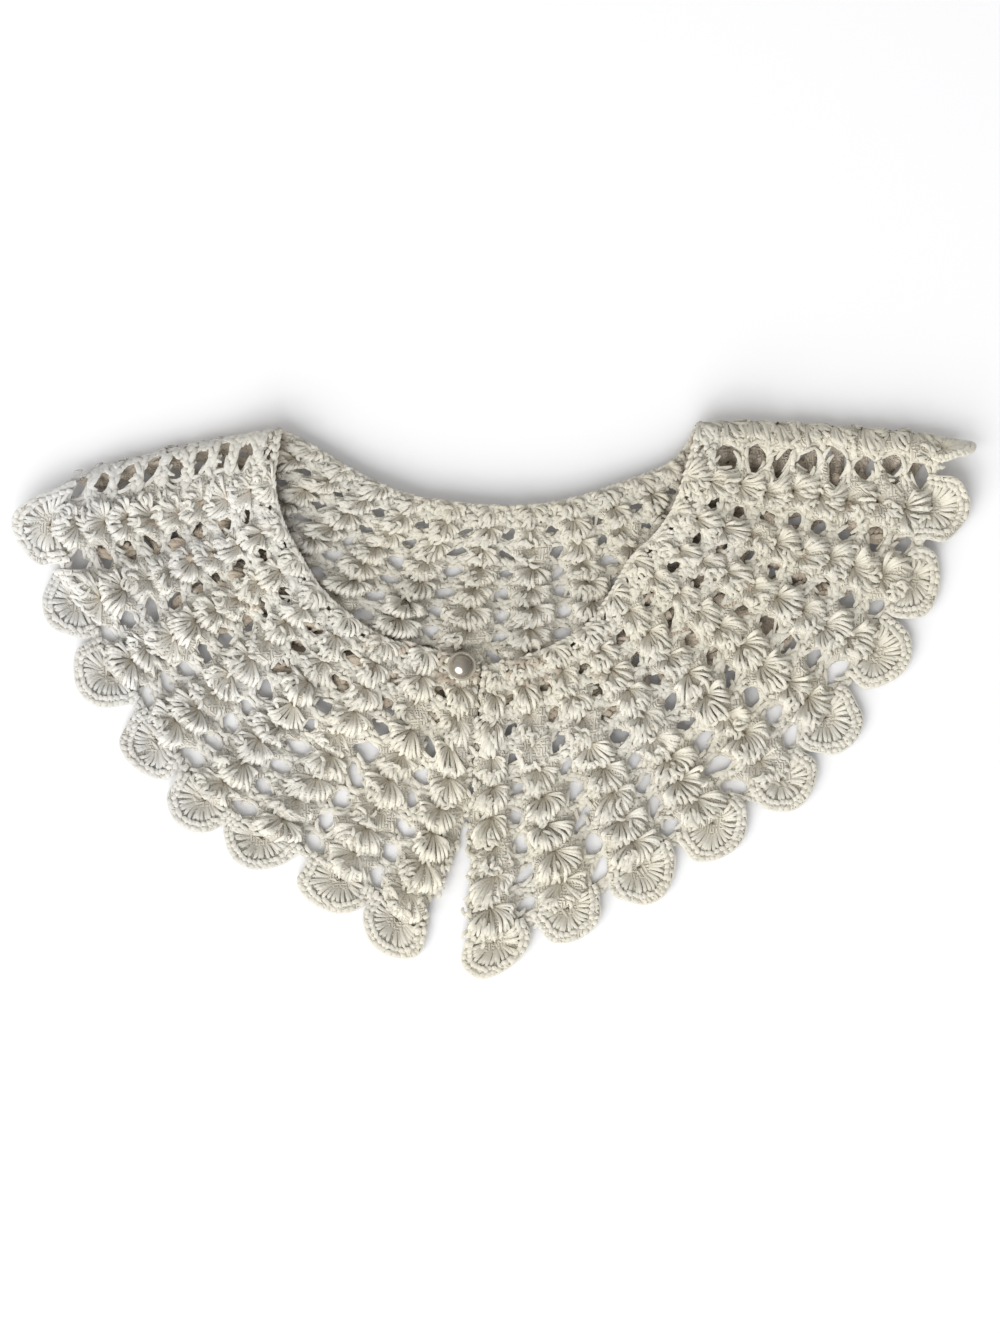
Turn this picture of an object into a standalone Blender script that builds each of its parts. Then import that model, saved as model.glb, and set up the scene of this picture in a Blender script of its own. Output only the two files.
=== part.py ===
"""A crocheted lace cape collar, buttoned at the throat and laid flat on a table.

The cloth is one annular strip of shell stitches: columns of fans run from the neck to the hem and
end in round scallops. It lies folded at both shoulders, the two fronts on top of the back, so each
panel is a map from (column, row) to a point of the cloth's middle surface. Every wall is raised from
that map. Column numbers run along the neckline from the left front edge to the right front edge, with
a column's centre at a half number; row numbers run from the neckline (0) to the scallops' centres (9).
Sizes are in millimetres and are turned to metres when a mesh is written.
"""

import math
from collections import namedtuple

import bpy
import numpy as np

METRE = 0.001                      # one millimetre, in Blender's metres

# The middle of the laid collar in the tables' coordinates. The part's origin is there, on the table.
MIDDLE_X, MIDDLE_Y = 0.70, 0.08

# The cloth
WALL = 1.6                         # thickness of the worked cloth
ROWS = 9                           # rows of fans; the scallops start at the last one
FIRST_OPEN_ROW = 3                 # from here on the gaps between columns are wide enough to see through
FAN_RELIEF = 0.9                   # how far a fan stands proud of the plain wall
FAN_SIDE_FALL = 0.85               # part of the relief that is lost from a fan's middle to its sides
SEAM = 0.3                         # gap between pieces
SCALLOP_RADIUS = 13.0
SCALLOP_HALF_ANGLE = math.radians(100)
SCALLOP_STEPS = 8
SCALLOP_RINGS = (0.5, 0.86, 1.0)   # parts of the radius
RIM_RELIEF, GROOVE_RELIEF, ROOT_RELIEF = 0.5, 0.25, 0.25
CREST_STEPS = 3                    # steps from a fold's crest to the edge of its column
BENT_COLUMNS = 3                   # so near to a crest the inside follows the cloth point by point
EDGE_WAVE = 0.2                    # how far the front edges wave in beside the gap rows
HEM_ROW_PITCH = 8.0                # length of a row near the hem
FRONT_FAN_STEPS, BACK_FAN_STEPS = 4, 2
FAR = 1e3                          # longer than any panel

# A gap between two columns, in parts of a column's pitch and of a row's
GAP_HALF_WIDTH = 0.125
GAP_START, GAP_MIDDLE, GAP_END = 0.02, 0.30, 0.58
GAP_CORNER = 0.55                  # width at the gap's ends, as a part of its half width
CLOSED_HALF_WIDTH = 0.40           # half width of a fan in the closed rows

# How the layers lie
LAYER = 2.9                        # height of the fronts' cloth over the back's
HEM_MARGIN = 7.0                   # the fronts stay that high until this far past the back's hem,
HEM_RAMP = 11.0                    # and then come down to the table over this length
SHOULDER_RADIUS = 3.4              # half the inner height of the rolled fold
SHOULDER_TAPER = 26.0              # the roll flattens out over this length
NECK_AT_SHOULDER = 4.2             # how far the neckline stands off the table
NECK_AT_BACK = 6.5
NECK_FRONT_LIFT = 5.0              # extra height of the front neckline beside the shoulder
NECK_FALL_ROWS = 3.6               # the raised neckline comes down to the table over these rows

# The neck edging, the button and its loop
EDGING_RADIUS = 1.15
EDGING_LINE = 1.0                  # from the neckline to the middle of the edging
EDGING_GAP = 0.6                   # the chords of a round neckline come nearer than this
LACE_START = EDGING_LINE + EDGING_RADIUS + EDGING_GAP
EDGING_STEPS = 3                   # steps for each column
BUTTON_X, BUTTON_Y = -11.8, 12.1
BUTTON_ROW = 0.35                  # the button is sewn to the left front at this row
BUTTON_RIM_RADIUS, BUTTON_RIM_THICKNESS = 5.2, 1.1
BUTTON_RIM_BEVEL = 0.3
BUTTON_DOME_RADIUS, BUTTON_DOME_HEIGHT = 4.0, 3.4
BUTTON_DOME_STEPS, BUTTON_SEGMENTS = 5, 24
SHANK_RADIUS, SHANK_LENGTH, SHANK_SEGMENTS = 0.9, 1.3, 10
LOOP_RADIUS, LOOP_WIRE = 2.0, 0.55
LOOP_REACH = 7.0                   # from the button's centre to the loop's feet on the right front
LOOP_FOOT = 1.2                    # from the loop's axis to each foot
LOOP_LIFT = 0.1                    # clearance of the loop over the fans
LOOP_START, LOOP_TURN, LOOP_STEPS = math.radians(-60), math.radians(-240), 12

# One row for each column of fans, in plan: where it leaves the neckline, the centre of its scallop,
# and how far its middle bows to the left of the straight line between the two.
Column = namedtuple("Column", "neck_x neck_y hem_x hem_y bow")

LEFT_COLUMNS = (
    Column(-12.4, 15.4, -34.6, -77.8, 5.4),
    Column(-24.3, 18.6, -56.0, -62.8, 5.2),
    Column(-38.9, 22.1, -82.1, -49.3, 4.2),
    Column(-51.8, 30.7, -103.5, -35.0, 3.7),
    Column(-61.8, 40.0, -120.3, -13.9, 1.1),
    Column(-68.5, 50.7, -137.4, 10.0, 0.3),
    Column(-74.6, 62.8, -148.5, 34.6, 1.2),
    Column(-77.8, 77.1, -157.4, 62.1, 3.0),
)
LEFT_CREST = Column(-75.3, 96.0, -151.0, 79.3, -1.8)
BACK_COLUMNS = (
    Column(-63.2, 89.6, -139.2, 61.4, 0.0),
    Column(-51.8, 82.6, -121.4, 46.4, 0.0),
    Column(-39.3, 76.4, -97.5, 33.6, 0.0),
    Column(-26.8, 72.1, -71.4, 19.6, 0.0),
    Column(-13.9, 70.3, -43.9, 7.9, 0.0),
    Column(-0.4, 69.1, -15.4, 3.6, 0.0),
    Column(13.2, 69.3, 12.9, 3.6, 0.0),
    Column(26.1, 71.4, 41.8, 6.4, 0.0),
    Column(38.6, 75.3, 69.6, 14.3, 0.0),
    Column(50.3, 79.3, 94.6, 28.6, 0.0),
    Column(60.0, 83.2, 117.5, 46.4, 0.0),
    Column(66.8, 89.3, 139.6, 66.0, 0.0),
)
RIGHT_CREST = Column(71.8, 98.2, 158.9, 92.8, 2.0)
RIGHT_COLUMNS = (
    Column(66.8, 79.3, 155.3, 68.5, -0.8),
    Column(62.5, 67.1, 146.7, 41.8, -0.3),
    Column(56.0, 58.2, 134.9, 17.9, 0.5),
    Column(48.2, 50.7, 118.5, -6.1, 0.7),
    Column(41.1, 38.6, 101.7, -27.5, 0.4),
    Column(32.1, 26.4, 76.4, -43.6, 0.0),
    Column(20.3, 19.6, 52.5, -59.3, 0.0),
    Column(9.3, 15.0, 26.1, -73.5, -1.8),
    Column(0.2, 12.9, -0.4, -85.0, -0.6),
)

# Column numbers of the two fold crests and of the right front edge
LEFT_FOLD = len(LEFT_COLUMNS) + 0.5
RIGHT_FOLD = LEFT_FOLD + len(BACK_COLUMNS) + 1
RIGHT_EDGE = RIGHT_FOLD + len(RIGHT_COLUMNS) + 0.5

QUARTER = math.pi / 2


def ease(x):
    """Smooth step from 0 to 1."""
    x = np.clip(x, 0.0, 1.0)
    return x * x * (3 - 2 * x)


class Panel:
    """One layer of the laid cloth: its columns in order, and which of its ends are fold crests."""

    def __init__(self, columns, first, low_fold, high_fold):
        table = np.array(columns, float)
        self.necks, self.hems, self.bows = table[:, 0:2], table[:, 2:4], table[:, 4]
        self.first = first
        self.last = first + len(columns) - 1
        self.low_fold, self.high_fold = low_fold, high_fold

    def across(self, values, k):
        """Values of the columns joined by a smooth curve, and carried on straight past the ends."""
        slopes = np.gradient(values, axis=0)
        i = np.clip(np.floor(k).astype(int), 0, len(values) - 2)
        f = k - i
        inside = np.clip(f, 0.0, 1.0)
        beyond = f - inside
        if values.ndim > 1:
            inside, beyond = inside[..., None], beyond[..., None]
        a, b, slope_a, slope_b = values[i], values[i + 1], slopes[i], slopes[i + 1]
        square, cube = inside**2, inside**3
        curve = (a * (2 * cube - 3 * square + 1) + b * (3 * square - 2 * cube)
                 + slope_a * (cube - 2 * square + inside) + slope_b * (cube - square))
        return curve + beyond * np.where(beyond < 0, slope_a, slope_b)

    def along(self, neck, hem, bow, row):
        """The point of a column at a row: a straight line from neck to hem, bowed as a parabola."""
        part = (row / ROWS)[..., None]
        run = hem - neck
        side = np.stack([-run[..., 1], run[..., 0]], -1)
        side = side / np.linalg.norm(side, axis=-1, keepdims=True)
        return neck + run * part + side * bow[..., None] * 4 * part * (1 - part)

    def column_gap(self, i, j, row):
        """Distance in plan between two of the panel's columns at a row."""
        ones = np.ones_like(row)
        ends = [self.along(self.necks[n] * ones[..., None], self.hems[n] * ones[..., None],
                           self.bows[n] * ones, row) for n in (i, j)]
        return np.linalg.norm(ends[0] - ends[1], axis=-1)

    def fold_side(self, column, row):
        """For the nearer crest: the cloth's length from it, and the column number that gives its place.

        Next to a crest the cloth rolls over on a half circle, so equal lengths of cloth move in from
        the crest as r(1 - cos(s / r)) and after a quarter turn go straight on.
        """
        length = np.full_like(column, FAR)
        place = column.copy()
        for here, crest, beside, sign in ((self.low_fold, self.first, 1, 1.0),
                                          (self.high_fold, self.last, -2, -1.0)):
            if not here:
                continue
            gap = self.column_gap(0 if sign > 0 else -1, beside, row)
            turned = np.abs(column - crest)
            cloth = turned * (gap + (QUARTER - 1) * SHOULDER_RADIUS)
            inward = np.where(cloth < QUARTER * SHOULDER_RADIUS,
                              SHOULDER_RADIUS * (1 - np.cos(cloth / SHOULDER_RADIUS)),
                              cloth - (QUARTER - 1) * SHOULDER_RADIUS)
            near = turned < 1
            place = np.where(near, crest + sign * inward / gap, place)
            length = np.where(turned < 3, cloth, length)
        return length, place

    def plan(self, column, row):
        """The place on the table of a point of the cloth."""
        place = self.fold_side(column, row)[1] - self.first
        return self.along(self.across(self.necks, place), self.across(self.hems, place),
                          self.across(self.bows, place), row)

    def middle(self, column, row):
        """A point of the cloth's middle surface."""
        column, row = np.broadcast_arrays(np.asarray(column, float), np.asarray(row, float))
        plan = self.plan(column, row)
        return np.concatenate([plan, self.height(column, row, plan)[..., None]], -1)

    def normal(self, column, row):
        """The outward direction of the cloth: up on the fronts, down on the back."""
        column, row = np.broadcast_arrays(np.asarray(column, float), np.asarray(row, float))
        step = 1e-3
        inside = np.clip(column, self.first - 0.5 + step, self.last + 0.5 - step)
        if self.low_fold:
            inside = np.maximum(inside, self.first + step)
        if self.high_fold:
            inside = np.minimum(inside, self.last - step)
        along_neck = self.middle(inside + step, row) - self.middle(inside - step, row)
        along_row = self.middle(inside, row + step) - self.middle(inside, row - step)
        out = np.cross(along_neck, along_row)
        return out / np.linalg.norm(out, axis=-1, keepdims=True)

    def pitch(self, column, row):
        """Lengths of cloth for one column and for one row, at a point."""
        step = 0.01
        side = self.last + 0.5 - step if column + step > self.last + 0.5 else column
        across = self.middle(side, row) - self.middle(side - step, row)
        down = self.middle(column, row + step) - self.middle(column, row)
        return np.linalg.norm(across) / step, np.linalg.norm(down) / step


def neck_fall(row):
    """1 at the neckline, falling to 0 where the cloth lies flat."""
    return ease(1 - row / NECK_FALL_ROWS)


def back_height(column, row):
    """Middle height of the lower layer: flat on the table, rising to the back of the neck."""
    across = np.sin(math.pi * (column - LEFT_FOLD) / (RIGHT_FOLD - LEFT_FOLD)) ** 2
    across = np.where((column < LEFT_FOLD) | (column > RIGHT_FOLD), 0.0, across)
    rise = NECK_AT_SHOULDER + (NECK_AT_BACK - NECK_AT_SHOULDER) * across
    return WALL / 2 + rise * neck_fall(row)


class Back(Panel):
    """The panel underneath, inside up."""

    def height(self, column, row, plan):
        """The lower half of each shoulder's roll, then the lower layer."""
        length = self.fold_side(column, row)[0]
        turn = np.clip(length / SHOULDER_RADIUS, 0, QUARTER)
        return back_height(column, row) + SHOULDER_RADIUS * (1 - np.sin(turn))


class Front(Panel):
    """A panel on top: over the back it lies a layer up, and past the back it comes to the table."""

    def __init__(self, columns, first, low_fold, high_fold, hem_line):
        super().__init__(columns, first, low_fold, high_fold)
        self.hem_line = hem_line

    def height(self, column, row, plan):
        """The laid height, with the shoulder's roll falling away from its crest."""
        crest = self.last if self.high_fold else self.first
        edge = self.first if self.high_fold else self.last
        shoulder = np.clip((column - edge) / (crest - edge), 0, 1)
        past = plan[..., 1] - np.interp(plan[..., 0], self.hem_line[:, 0], self.hem_line[:, 1])
        laid = WALL / 2 + LAYER * ease(1 + (past + HEM_MARGIN) / HEM_RAMP)
        laid = laid + (NECK_AT_SHOULDER + NECK_FRONT_LIFT) * shoulder**2 * neck_fall(row)
        length = self.fold_side(column, row)[0]
        under = back_height(np.full_like(column, crest), row)
        turn = np.clip(length / SHOULDER_RADIUS, 0, QUARTER)
        rolled = under + SHOULDER_RADIUS * (1 + np.sin(turn))
        taper = ease((length - QUARTER * SHOULDER_RADIUS) / SHOULDER_TAPER)
        return rolled + (laid - rolled) * taper


def build_panels():
    """The three layers of the laid collar."""
    back = Back((LEFT_CREST,) + BACK_COLUMNS + (RIGHT_CREST,), LEFT_FOLD, True, True)
    reach = ROWS + SCALLOP_RADIUS / HEM_ROW_PITCH
    numbers = np.linspace(LEFT_FOLD, RIGHT_FOLD, 4 * len(BACK_COLUMNS) + 5)
    hem_line = back.plan(numbers, np.full_like(numbers, reach))
    left = Front(LEFT_COLUMNS + (LEFT_CREST,), 0.5, False, True, hem_line)
    right = Front((RIGHT_CREST,) + RIGHT_COLUMNS, RIGHT_FOLD, True, False, hem_line)
    return left, back, right


# A line of the wall's grid across the columns: its row, a fan's half width there, how much of the
# relief it has, and whether the strip that starts here is open between the columns.
Line = namedtuple("Line", "row half_width relief open")


def wall_lines():
    """The grid's lines from the neck to the scallops."""
    lines = [Line(0.0, CLOSED_HALF_WIDTH, 0.2, False), Line(0.6, CLOSED_HALF_WIDTH, 0.5, False)]
    for row in range(1, ROWS):
        if row < FIRST_OPEN_ROW:
            lines.append(Line(row + GAP_START, CLOSED_HALF_WIDTH, 0.0, False))
            lines.append(Line(row + 0.5, CLOSED_HALF_WIDTH, 1.0, False))
        else:
            corner = 0.5 - GAP_CORNER * GAP_HALF_WIDTH
            lines.append(Line(row + GAP_START, corner, 0.0, True))
            lines.append(Line(row + GAP_MIDDLE, 0.5 - GAP_HALF_WIDTH, 0.9, True))
            lines.append(Line(row + GAP_END, corner, 1.0, False))
    return lines


class Wall:
    """Collects the points and faces of one panel's closed wall."""

    def __init__(self, panel, fan_steps, relief_side):
        self.panel, self.fan_steps, self.relief_side = panel, fan_steps, relief_side
        self.spots = []            # (column, row, height over the middle surface)
        self.faces = []

    def point(self, column, row, offset):
        """Adds a point of the cloth, moved out along its normal, and gives its number."""
        self.spots.append((column, row, offset))
        return len(self.spots) - 1

    def pair(self, column, row, relief, both=True):
        """An outer and an inner point, the inner one left out where the inside is plain.

        The relief goes on the side that shows.
        """
        outer = WALL / 2 + (relief if self.relief_side > 0 else 0)
        inner = -WALL / 2 - (relief if self.relief_side < 0 else 0)
        return self.point(column, row, outer), self.point(column, row, inner) if both else None

    def cover(self, first, second):
        """The outer and the inner face between two runs of point pairs."""
        sides = [[pair[side] for pair in first] + [pair[side] for pair in reversed(second)]
                 for side in (0, 1)]
        outer, inner = [[point for point in side if point is not None] for side in sides]
        self.faces.append(outer)
        if len(inner) > 2 and None not in (first[0][1], second[0][1], first[-1][1], second[-1][1]):
            self.faces.append(inner[::-1])

    def rim(self, run):
        """The faces that close the wall along a run of point pairs, the cloth on its left."""
        start = 0
        for end in range(1, len(run)):
            if run[end][1] is None:
                continue
            outer = [pair[0] for pair in run[start:end + 1]]
            self.faces.append([run[start][1], run[end][1]] + outer[::-1])
            start = end

    def write(self, name, material):
        """Makes the object, with every face pointing out."""
        spots = np.array(self.spots)
        column, row, offset = spots.T
        points = self.panel.middle(column, row) + self.panel.normal(column, row) * offset[:, None]
        mesh = bpy.data.meshes.new(name)
        mesh.from_pydata((points * METRE).tolist(), [], self.faces)
        mesh.validate()
        mesh.update()
        return add_object(name, mesh, material)


def build_wall(panel, name, material, fan_steps, relief_side):
    """The closed lace wall of one panel: fans, gaps, scallops and rims."""
    wall = Wall(panel, fan_steps, relief_side)
    lines = wall_lines()
    columns = [Fan(wall, number) for number in np.arange(panel.first, panel.last + 0.5)]
    rows_of_runs = [[fan.run(line) for fan in columns] for line in lines]
    rows_of_runs.append([fan.scallop_root() for fan in columns])
    for line, above, below in zip(lines, rows_of_runs, rows_of_runs[1:]):
        join_rows(wall, line, above, below)
    close_gaps(wall, lines, rows_of_runs)
    close_edges(wall, rows_of_runs)
    hem = []
    for fan, root in zip(columns, rows_of_runs[-1]):
        hem += fan.scallop(root)
    wall.rim(hem[::-1])
    return wall.write(name, material)


class Fan:
    """One column of fans in one panel's wall. At a fold crest a panel has half of the column."""

    def __init__(self, wall, number):
        panel = wall.panel
        self.wall, self.number = wall, number
        self.half = 0              # +1 or -1 where only that side of the column is in this panel
        if panel.low_fold and number == panel.first:
            self.half = 1
        if panel.high_fold and number == panel.last:
            self.half = -1
        crests = [crest for here, crest in ((panel.low_fold, panel.first), (panel.high_fold, panel.last))
                  if here]
        self.plain = min(abs(number - crest) for crest in crests) > BENT_COLUMNS
        self.across, self.down = panel.pitch(number, float(ROWS))
        self.start = LACE_START / panel.pitch(number, 0.0)[1]
        self.seam = self.half * SEAM / 2 / panel.pitch(number + self.half * 0.5, ROWS / 2)[0]
        self.edge = 0              # the side of the column that is a front edge of the garment
        if not panel.low_fold and number == panel.first:
            self.edge = -1
        if not panel.high_fold and number == panel.last:
            self.edge = 1

    def run(self, line):
        """Point pairs across the fan at a line of the grid."""
        steps = self.wall.fan_steps
        parts = [i / steps * 2 - 1 for i in range(steps + 1)]
        if self.half:
            parts = sorted(self.half * i / CREST_STEPS for i in range(CREST_STEPS + 1))
        run = []
        for part in parts:
            width = line.half_width
            if part == self.edge:
                width = 0.5 - EDGE_WAVE * (0.5 - width)
            column = self.number + part * width
            if self.half and part == 0:
                column = self.number + self.seam
            relief = 0.0
            if not self.half:
                relief = FAN_RELIEF * line.relief * (1 - FAN_SIDE_FALL * part * part)
            both = not self.plain or abs(part) == 1
            run.append(self.wall.pair(column, max(line.row, self.start), relief, both))
        return run

    def scallop_spot(self, ring, angle):
        """Column and row of a point of the scallop, by its distance and angle from the centre."""
        distance = ring * SCALLOP_RADIUS
        column = self.number + distance * math.sin(angle) / self.across
        if self.half and abs(angle) < 1e-6:
            column += self.seam
        return column, ROWS + distance * math.cos(angle) / self.down

    def spoke(self, angle, reliefs):
        """Point pairs out along one spoke of the scallop."""
        spoke = []
        for ring, relief in zip(SCALLOP_RINGS, reliefs):
            column, row = self.scallop_spot(ring, angle)
            both = not self.plain or ring == SCALLOP_RINGS[-1]
            spoke.append(self.wall.pair(column, row, 0.0 if self.half else relief, both))
        return spoke

    def scallop_root(self):
        """Point pairs along the scallop's inner edge, from one end of its rim through its centre."""
        low = high = []
        reliefs = (ROOT_RELIEF,) * len(SCALLOP_RINGS)
        if self.half <= 0:
            low = self.spoke(-SCALLOP_HALF_ANGLE, reliefs)[::-1]
        if self.half >= 0:
            high = self.spoke(SCALLOP_HALF_ANGLE, reliefs)
        return low + [self.wall.pair(self.number + self.seam, float(ROWS), 0.0, not self.plain)] + high

    def scallop(self, root):
        """Faces of the round end; gives the point pairs of its rim."""
        wall, rings = self.wall, len(SCALLOP_RINGS)
        spokes = [root[:rings][::-1]] if self.half <= 0 else []
        steps = [i for i in range(1, SCALLOP_STEPS) if (2 * i - SCALLOP_STEPS) * self.half >= 0]
        for i in steps:
            angle = SCALLOP_HALF_ANGLE * (2 * i / SCALLOP_STEPS - 1)
            spokes.append(self.spoke(angle, (FAN_RELIEF, GROOVE_RELIEF, RIM_RELIEF)))
        if self.half >= 0:
            spokes.append(root[-rings:])
        centre = root[rings] if self.half <= 0 else root[0]
        for a, b in zip(spokes, spokes[1:]):
            wall.cover([centre, b[0]], [a[0]])
            for ring in range(rings - 1):
                wall.cover([b[ring], b[ring + 1]], [a[ring], a[ring + 1]])
        rim = [spoke[-1] for spoke in spokes]
        if self.plain:
            wall.faces.append([pair[1] for pair in rim])
        if self.half > 0:
            wall.rim(([centre] + spokes[0])[::-1])
        if self.half < 0:
            wall.rim([centre] + spokes[-1])
        return rim


def join_rows(wall, line, above, below):
    """Faces of the fans between two lines, and of the bridges between columns where it is closed."""
    for upper, lower in zip(above, below):
        places = np.linspace(0, len(lower) - 1, len(upper)).round().astype(int)
        for i in range(len(upper) - 1):
            wall.cover(upper[i:i + 2], lower[places[i]:places[i + 1] + 1])
        if upper[1][1] is None:
            wall.faces.append([pair[1] for pair in (lower[0], lower[-1], upper[-1], upper[0])])
    if line.open:
        return
    for a, b, c, d in zip(above, above[1:], below, below[1:]):
        wall.cover([a[-1], b[0]], [c[-1], d[0]])


def close_gaps(wall, lines, rows_of_runs):
    """The rims of each gap: two strips long, between neighbouring columns."""
    for i, line in enumerate(lines):
        if not line.open or lines[i - 1].open:
            continue
        for n in range(len(rows_of_runs[i]) - 1):
            left = [rows[n][-1] for rows in rows_of_runs[i:i + 3]]
            right = [rows[n + 1][0] for rows in rows_of_runs[i:i + 3]]
            wall.rim(left + right[::-1] + left[:1])


def close_edges(wall, rows_of_runs):
    """The rims along the neck and along both side edges."""
    wall.rim([pair for run in rows_of_runs[0] for pair in run])
    wall.rim([runs[0][0] for runs in rows_of_runs][::-1])
    wall.rim([runs[-1][-1] for runs in rows_of_runs])


def add_object(name, data, material):
    """Links a new object with its material, and moves the collar's middle to the origin."""
    data.materials.append(material)
    thing = bpy.data.objects.new(name, data)
    thing.location = (-MIDDLE_X * METRE, -MIDDLE_Y * METRE, 0.0)
    bpy.context.scene.collection.objects.link(thing)
    return thing


def add_material(name, colour, roughness, metallic=0.0):
    """A Principled material."""
    material = bpy.data.materials.new(name)
    material.use_nodes = True
    shader = material.node_tree.nodes["Principled BSDF"]
    shader.inputs["Base Color"].default_value = (*colour, 1.0)
    shader.inputs["Roughness"].default_value = roughness
    shader.inputs["Metallic"].default_value = metallic
    return material


def add_cord(name, points, radius, material, resolution):
    """A round cord through points, closed at its ends."""
    curve = bpy.data.curves.new(name, "CURVE")
    curve.dimensions = "3D"
    curve.bevel_depth = radius * METRE
    curve.bevel_resolution = resolution
    curve.use_fill_caps = True
    spline = curve.splines.new("POLY")
    spline.points.add(len(points) - 1)
    for spot, place in zip(spline.points, points):
        spot.co = (*(np.asarray(place) * METRE), 1.0)
    return add_object(name, curve, material)


def build_neck_edging(panels, material):
    """The cord-like row along the whole neckline, round both shoulders."""
    left, back, right = panels
    points = []
    for panel, low, high in ((left, 0.0, LEFT_FOLD), (back, LEFT_FOLD, RIGHT_FOLD),
                             (right, RIGHT_FOLD, RIGHT_EDGE)):
        numbers = np.linspace(low, high, round(EDGING_STEPS * (high - low)) + 1)
        if panel is not left:
            numbers = numbers[1:]
        for number in numbers:
            pitch = panel.pitch(max(number, 0.01), 0.0)[1]
            points.append(panel.middle(number, EDGING_LINE / pitch))
    return add_cord("neck_edging", points, EDGING_RADIUS, material, 1)


def build_button(base, material):
    """A pearl button: a domed top on a thin round rim, flat underneath."""
    profile = [(0.0, 0.0), (BUTTON_RIM_RADIUS - BUTTON_RIM_BEVEL, 0.0),
               (BUTTON_RIM_RADIUS, BUTTON_RIM_BEVEL),
               (BUTTON_RIM_RADIUS - BUTTON_RIM_BEVEL, BUTTON_RIM_THICKNESS)]
    for i in range(BUTTON_DOME_STEPS + 1):
        turn = QUARTER * i / BUTTON_DOME_STEPS
        profile.append((BUTTON_DOME_RADIUS * math.cos(turn),
                        BUTTON_RIM_THICKNESS + BUTTON_DOME_HEIGHT * math.sin(turn)))
    profile[-1] = (0.0, profile[-1][1])
    return add_turned("button", profile, base, BUTTON_SEGMENTS, material)


def add_turned(name, profile, base, segments, material):
    """A closed solid turned round the vertical through base; the profile runs from pole to pole."""
    x, y, z = base
    points = [(x, y, z + profile[0][1])]
    for radius, height in profile[1:-1]:
        for i in range(segments):
            turn = 2 * math.pi * i / segments
            points.append((x + radius * math.cos(turn), y + radius * math.sin(turn), z + height))
    points.append((x, y, z + profile[-1][1]))
    faces = []
    top = len(points) - 1
    rings = len(profile) - 2
    for i in range(segments):
        j = (i + 1) % segments
        faces.append((0, 1 + j, 1 + i))
        for ring in range(rings - 1):
            a, b = 1 + ring * segments, 1 + (ring + 1) * segments
            faces.append((a + i, a + j, b + j, b + i))
        last = 1 + (rings - 1) * segments
        faces.append((last + i, last + j, top))
    mesh = bpy.data.meshes.new(name)
    mesh.from_pydata([tuple(c * METRE for c in point) for point in points], [], faces)
    mesh.update()
    mesh.shade_smooth()
    mesh.set_sharp_from_angle(angle=math.radians(40))
    return add_object(name, mesh, material)


def build_fastening(left, materials):
    """The button, its thread stem on the left front, and the right front's loop round the stem."""
    x, y = BUTTON_X, BUTTON_Y
    foot = left.middle(left.first, BUTTON_ROW)[2] + WALL / 2 + FAN_RELIEF + SEAM
    stem = [(0.0, 0.0), (SHANK_RADIUS, 0.0), (SHANK_RADIUS, SHANK_LENGTH), (0.0, SHANK_LENGTH)]
    add_turned("button_shank", stem, (x, y, foot), SHANK_SEGMENTS, materials["thread"])
    build_button((x, y, foot + SHANK_LENGTH + SEAM), materials["pearl"])
    height = foot + LOOP_WIRE + LOOP_LIFT
    points = [(x + LOOP_REACH, y - LOOP_FOOT, height)]
    for i in range(LOOP_STEPS + 1):
        turn = LOOP_START + LOOP_TURN * i / LOOP_STEPS
        points.append((x + LOOP_RADIUS * math.cos(turn), y + LOOP_RADIUS * math.sin(turn), height))
    points.append((x + LOOP_REACH, y + LOOP_FOOT, height))
    add_cord("button_loop", points, LOOP_WIRE, materials["cotton"], 1)


def main():
    for thing in list(bpy.data.objects):
        bpy.data.objects.remove(thing)
    materials = {
        "cotton": add_material("cotton_lace", (0.80, 0.77, 0.68), 0.75),
        "pearl": add_material("pearl", (0.86, 0.83, 0.78), 0.18),
        "thread": add_material("sewing_thread", (0.82, 0.79, 0.70), 0.7),
    }
    panels = build_panels()
    left, back, right = panels
    build_wall(left, "left_front", materials["cotton"], FRONT_FAN_STEPS, 1)
    build_wall(back, "back", materials["cotton"], BACK_FAN_STEPS, -1)
    build_wall(right, "right_front", materials["cotton"], FRONT_FAN_STEPS, 1)
    build_neck_edging(panels, materials["cotton"])
    build_fastening(left, materials)


main()
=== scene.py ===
"""Looks of a crocheted lace cape collar that lies flat, folded at both shoulders.

The cloth is one annular strip of shell stitches. Three panels (left front, back, right front) map cloth
coordinates to places: column counts the columns of shells round the neck from the left front edge, row
counts the rows from the neckline (0) to the scallops' centres (9), and lift is a height in millimetres
over the cloth's middle, towards the side that faces up. Every stitch is a strand of yarn drawn in cloth
coordinates and carried into place by its panel. Sizes are in millimetres until a mesh is written.
"""

import logging
import math
from dataclasses import dataclass, field
from enum import Enum

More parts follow.
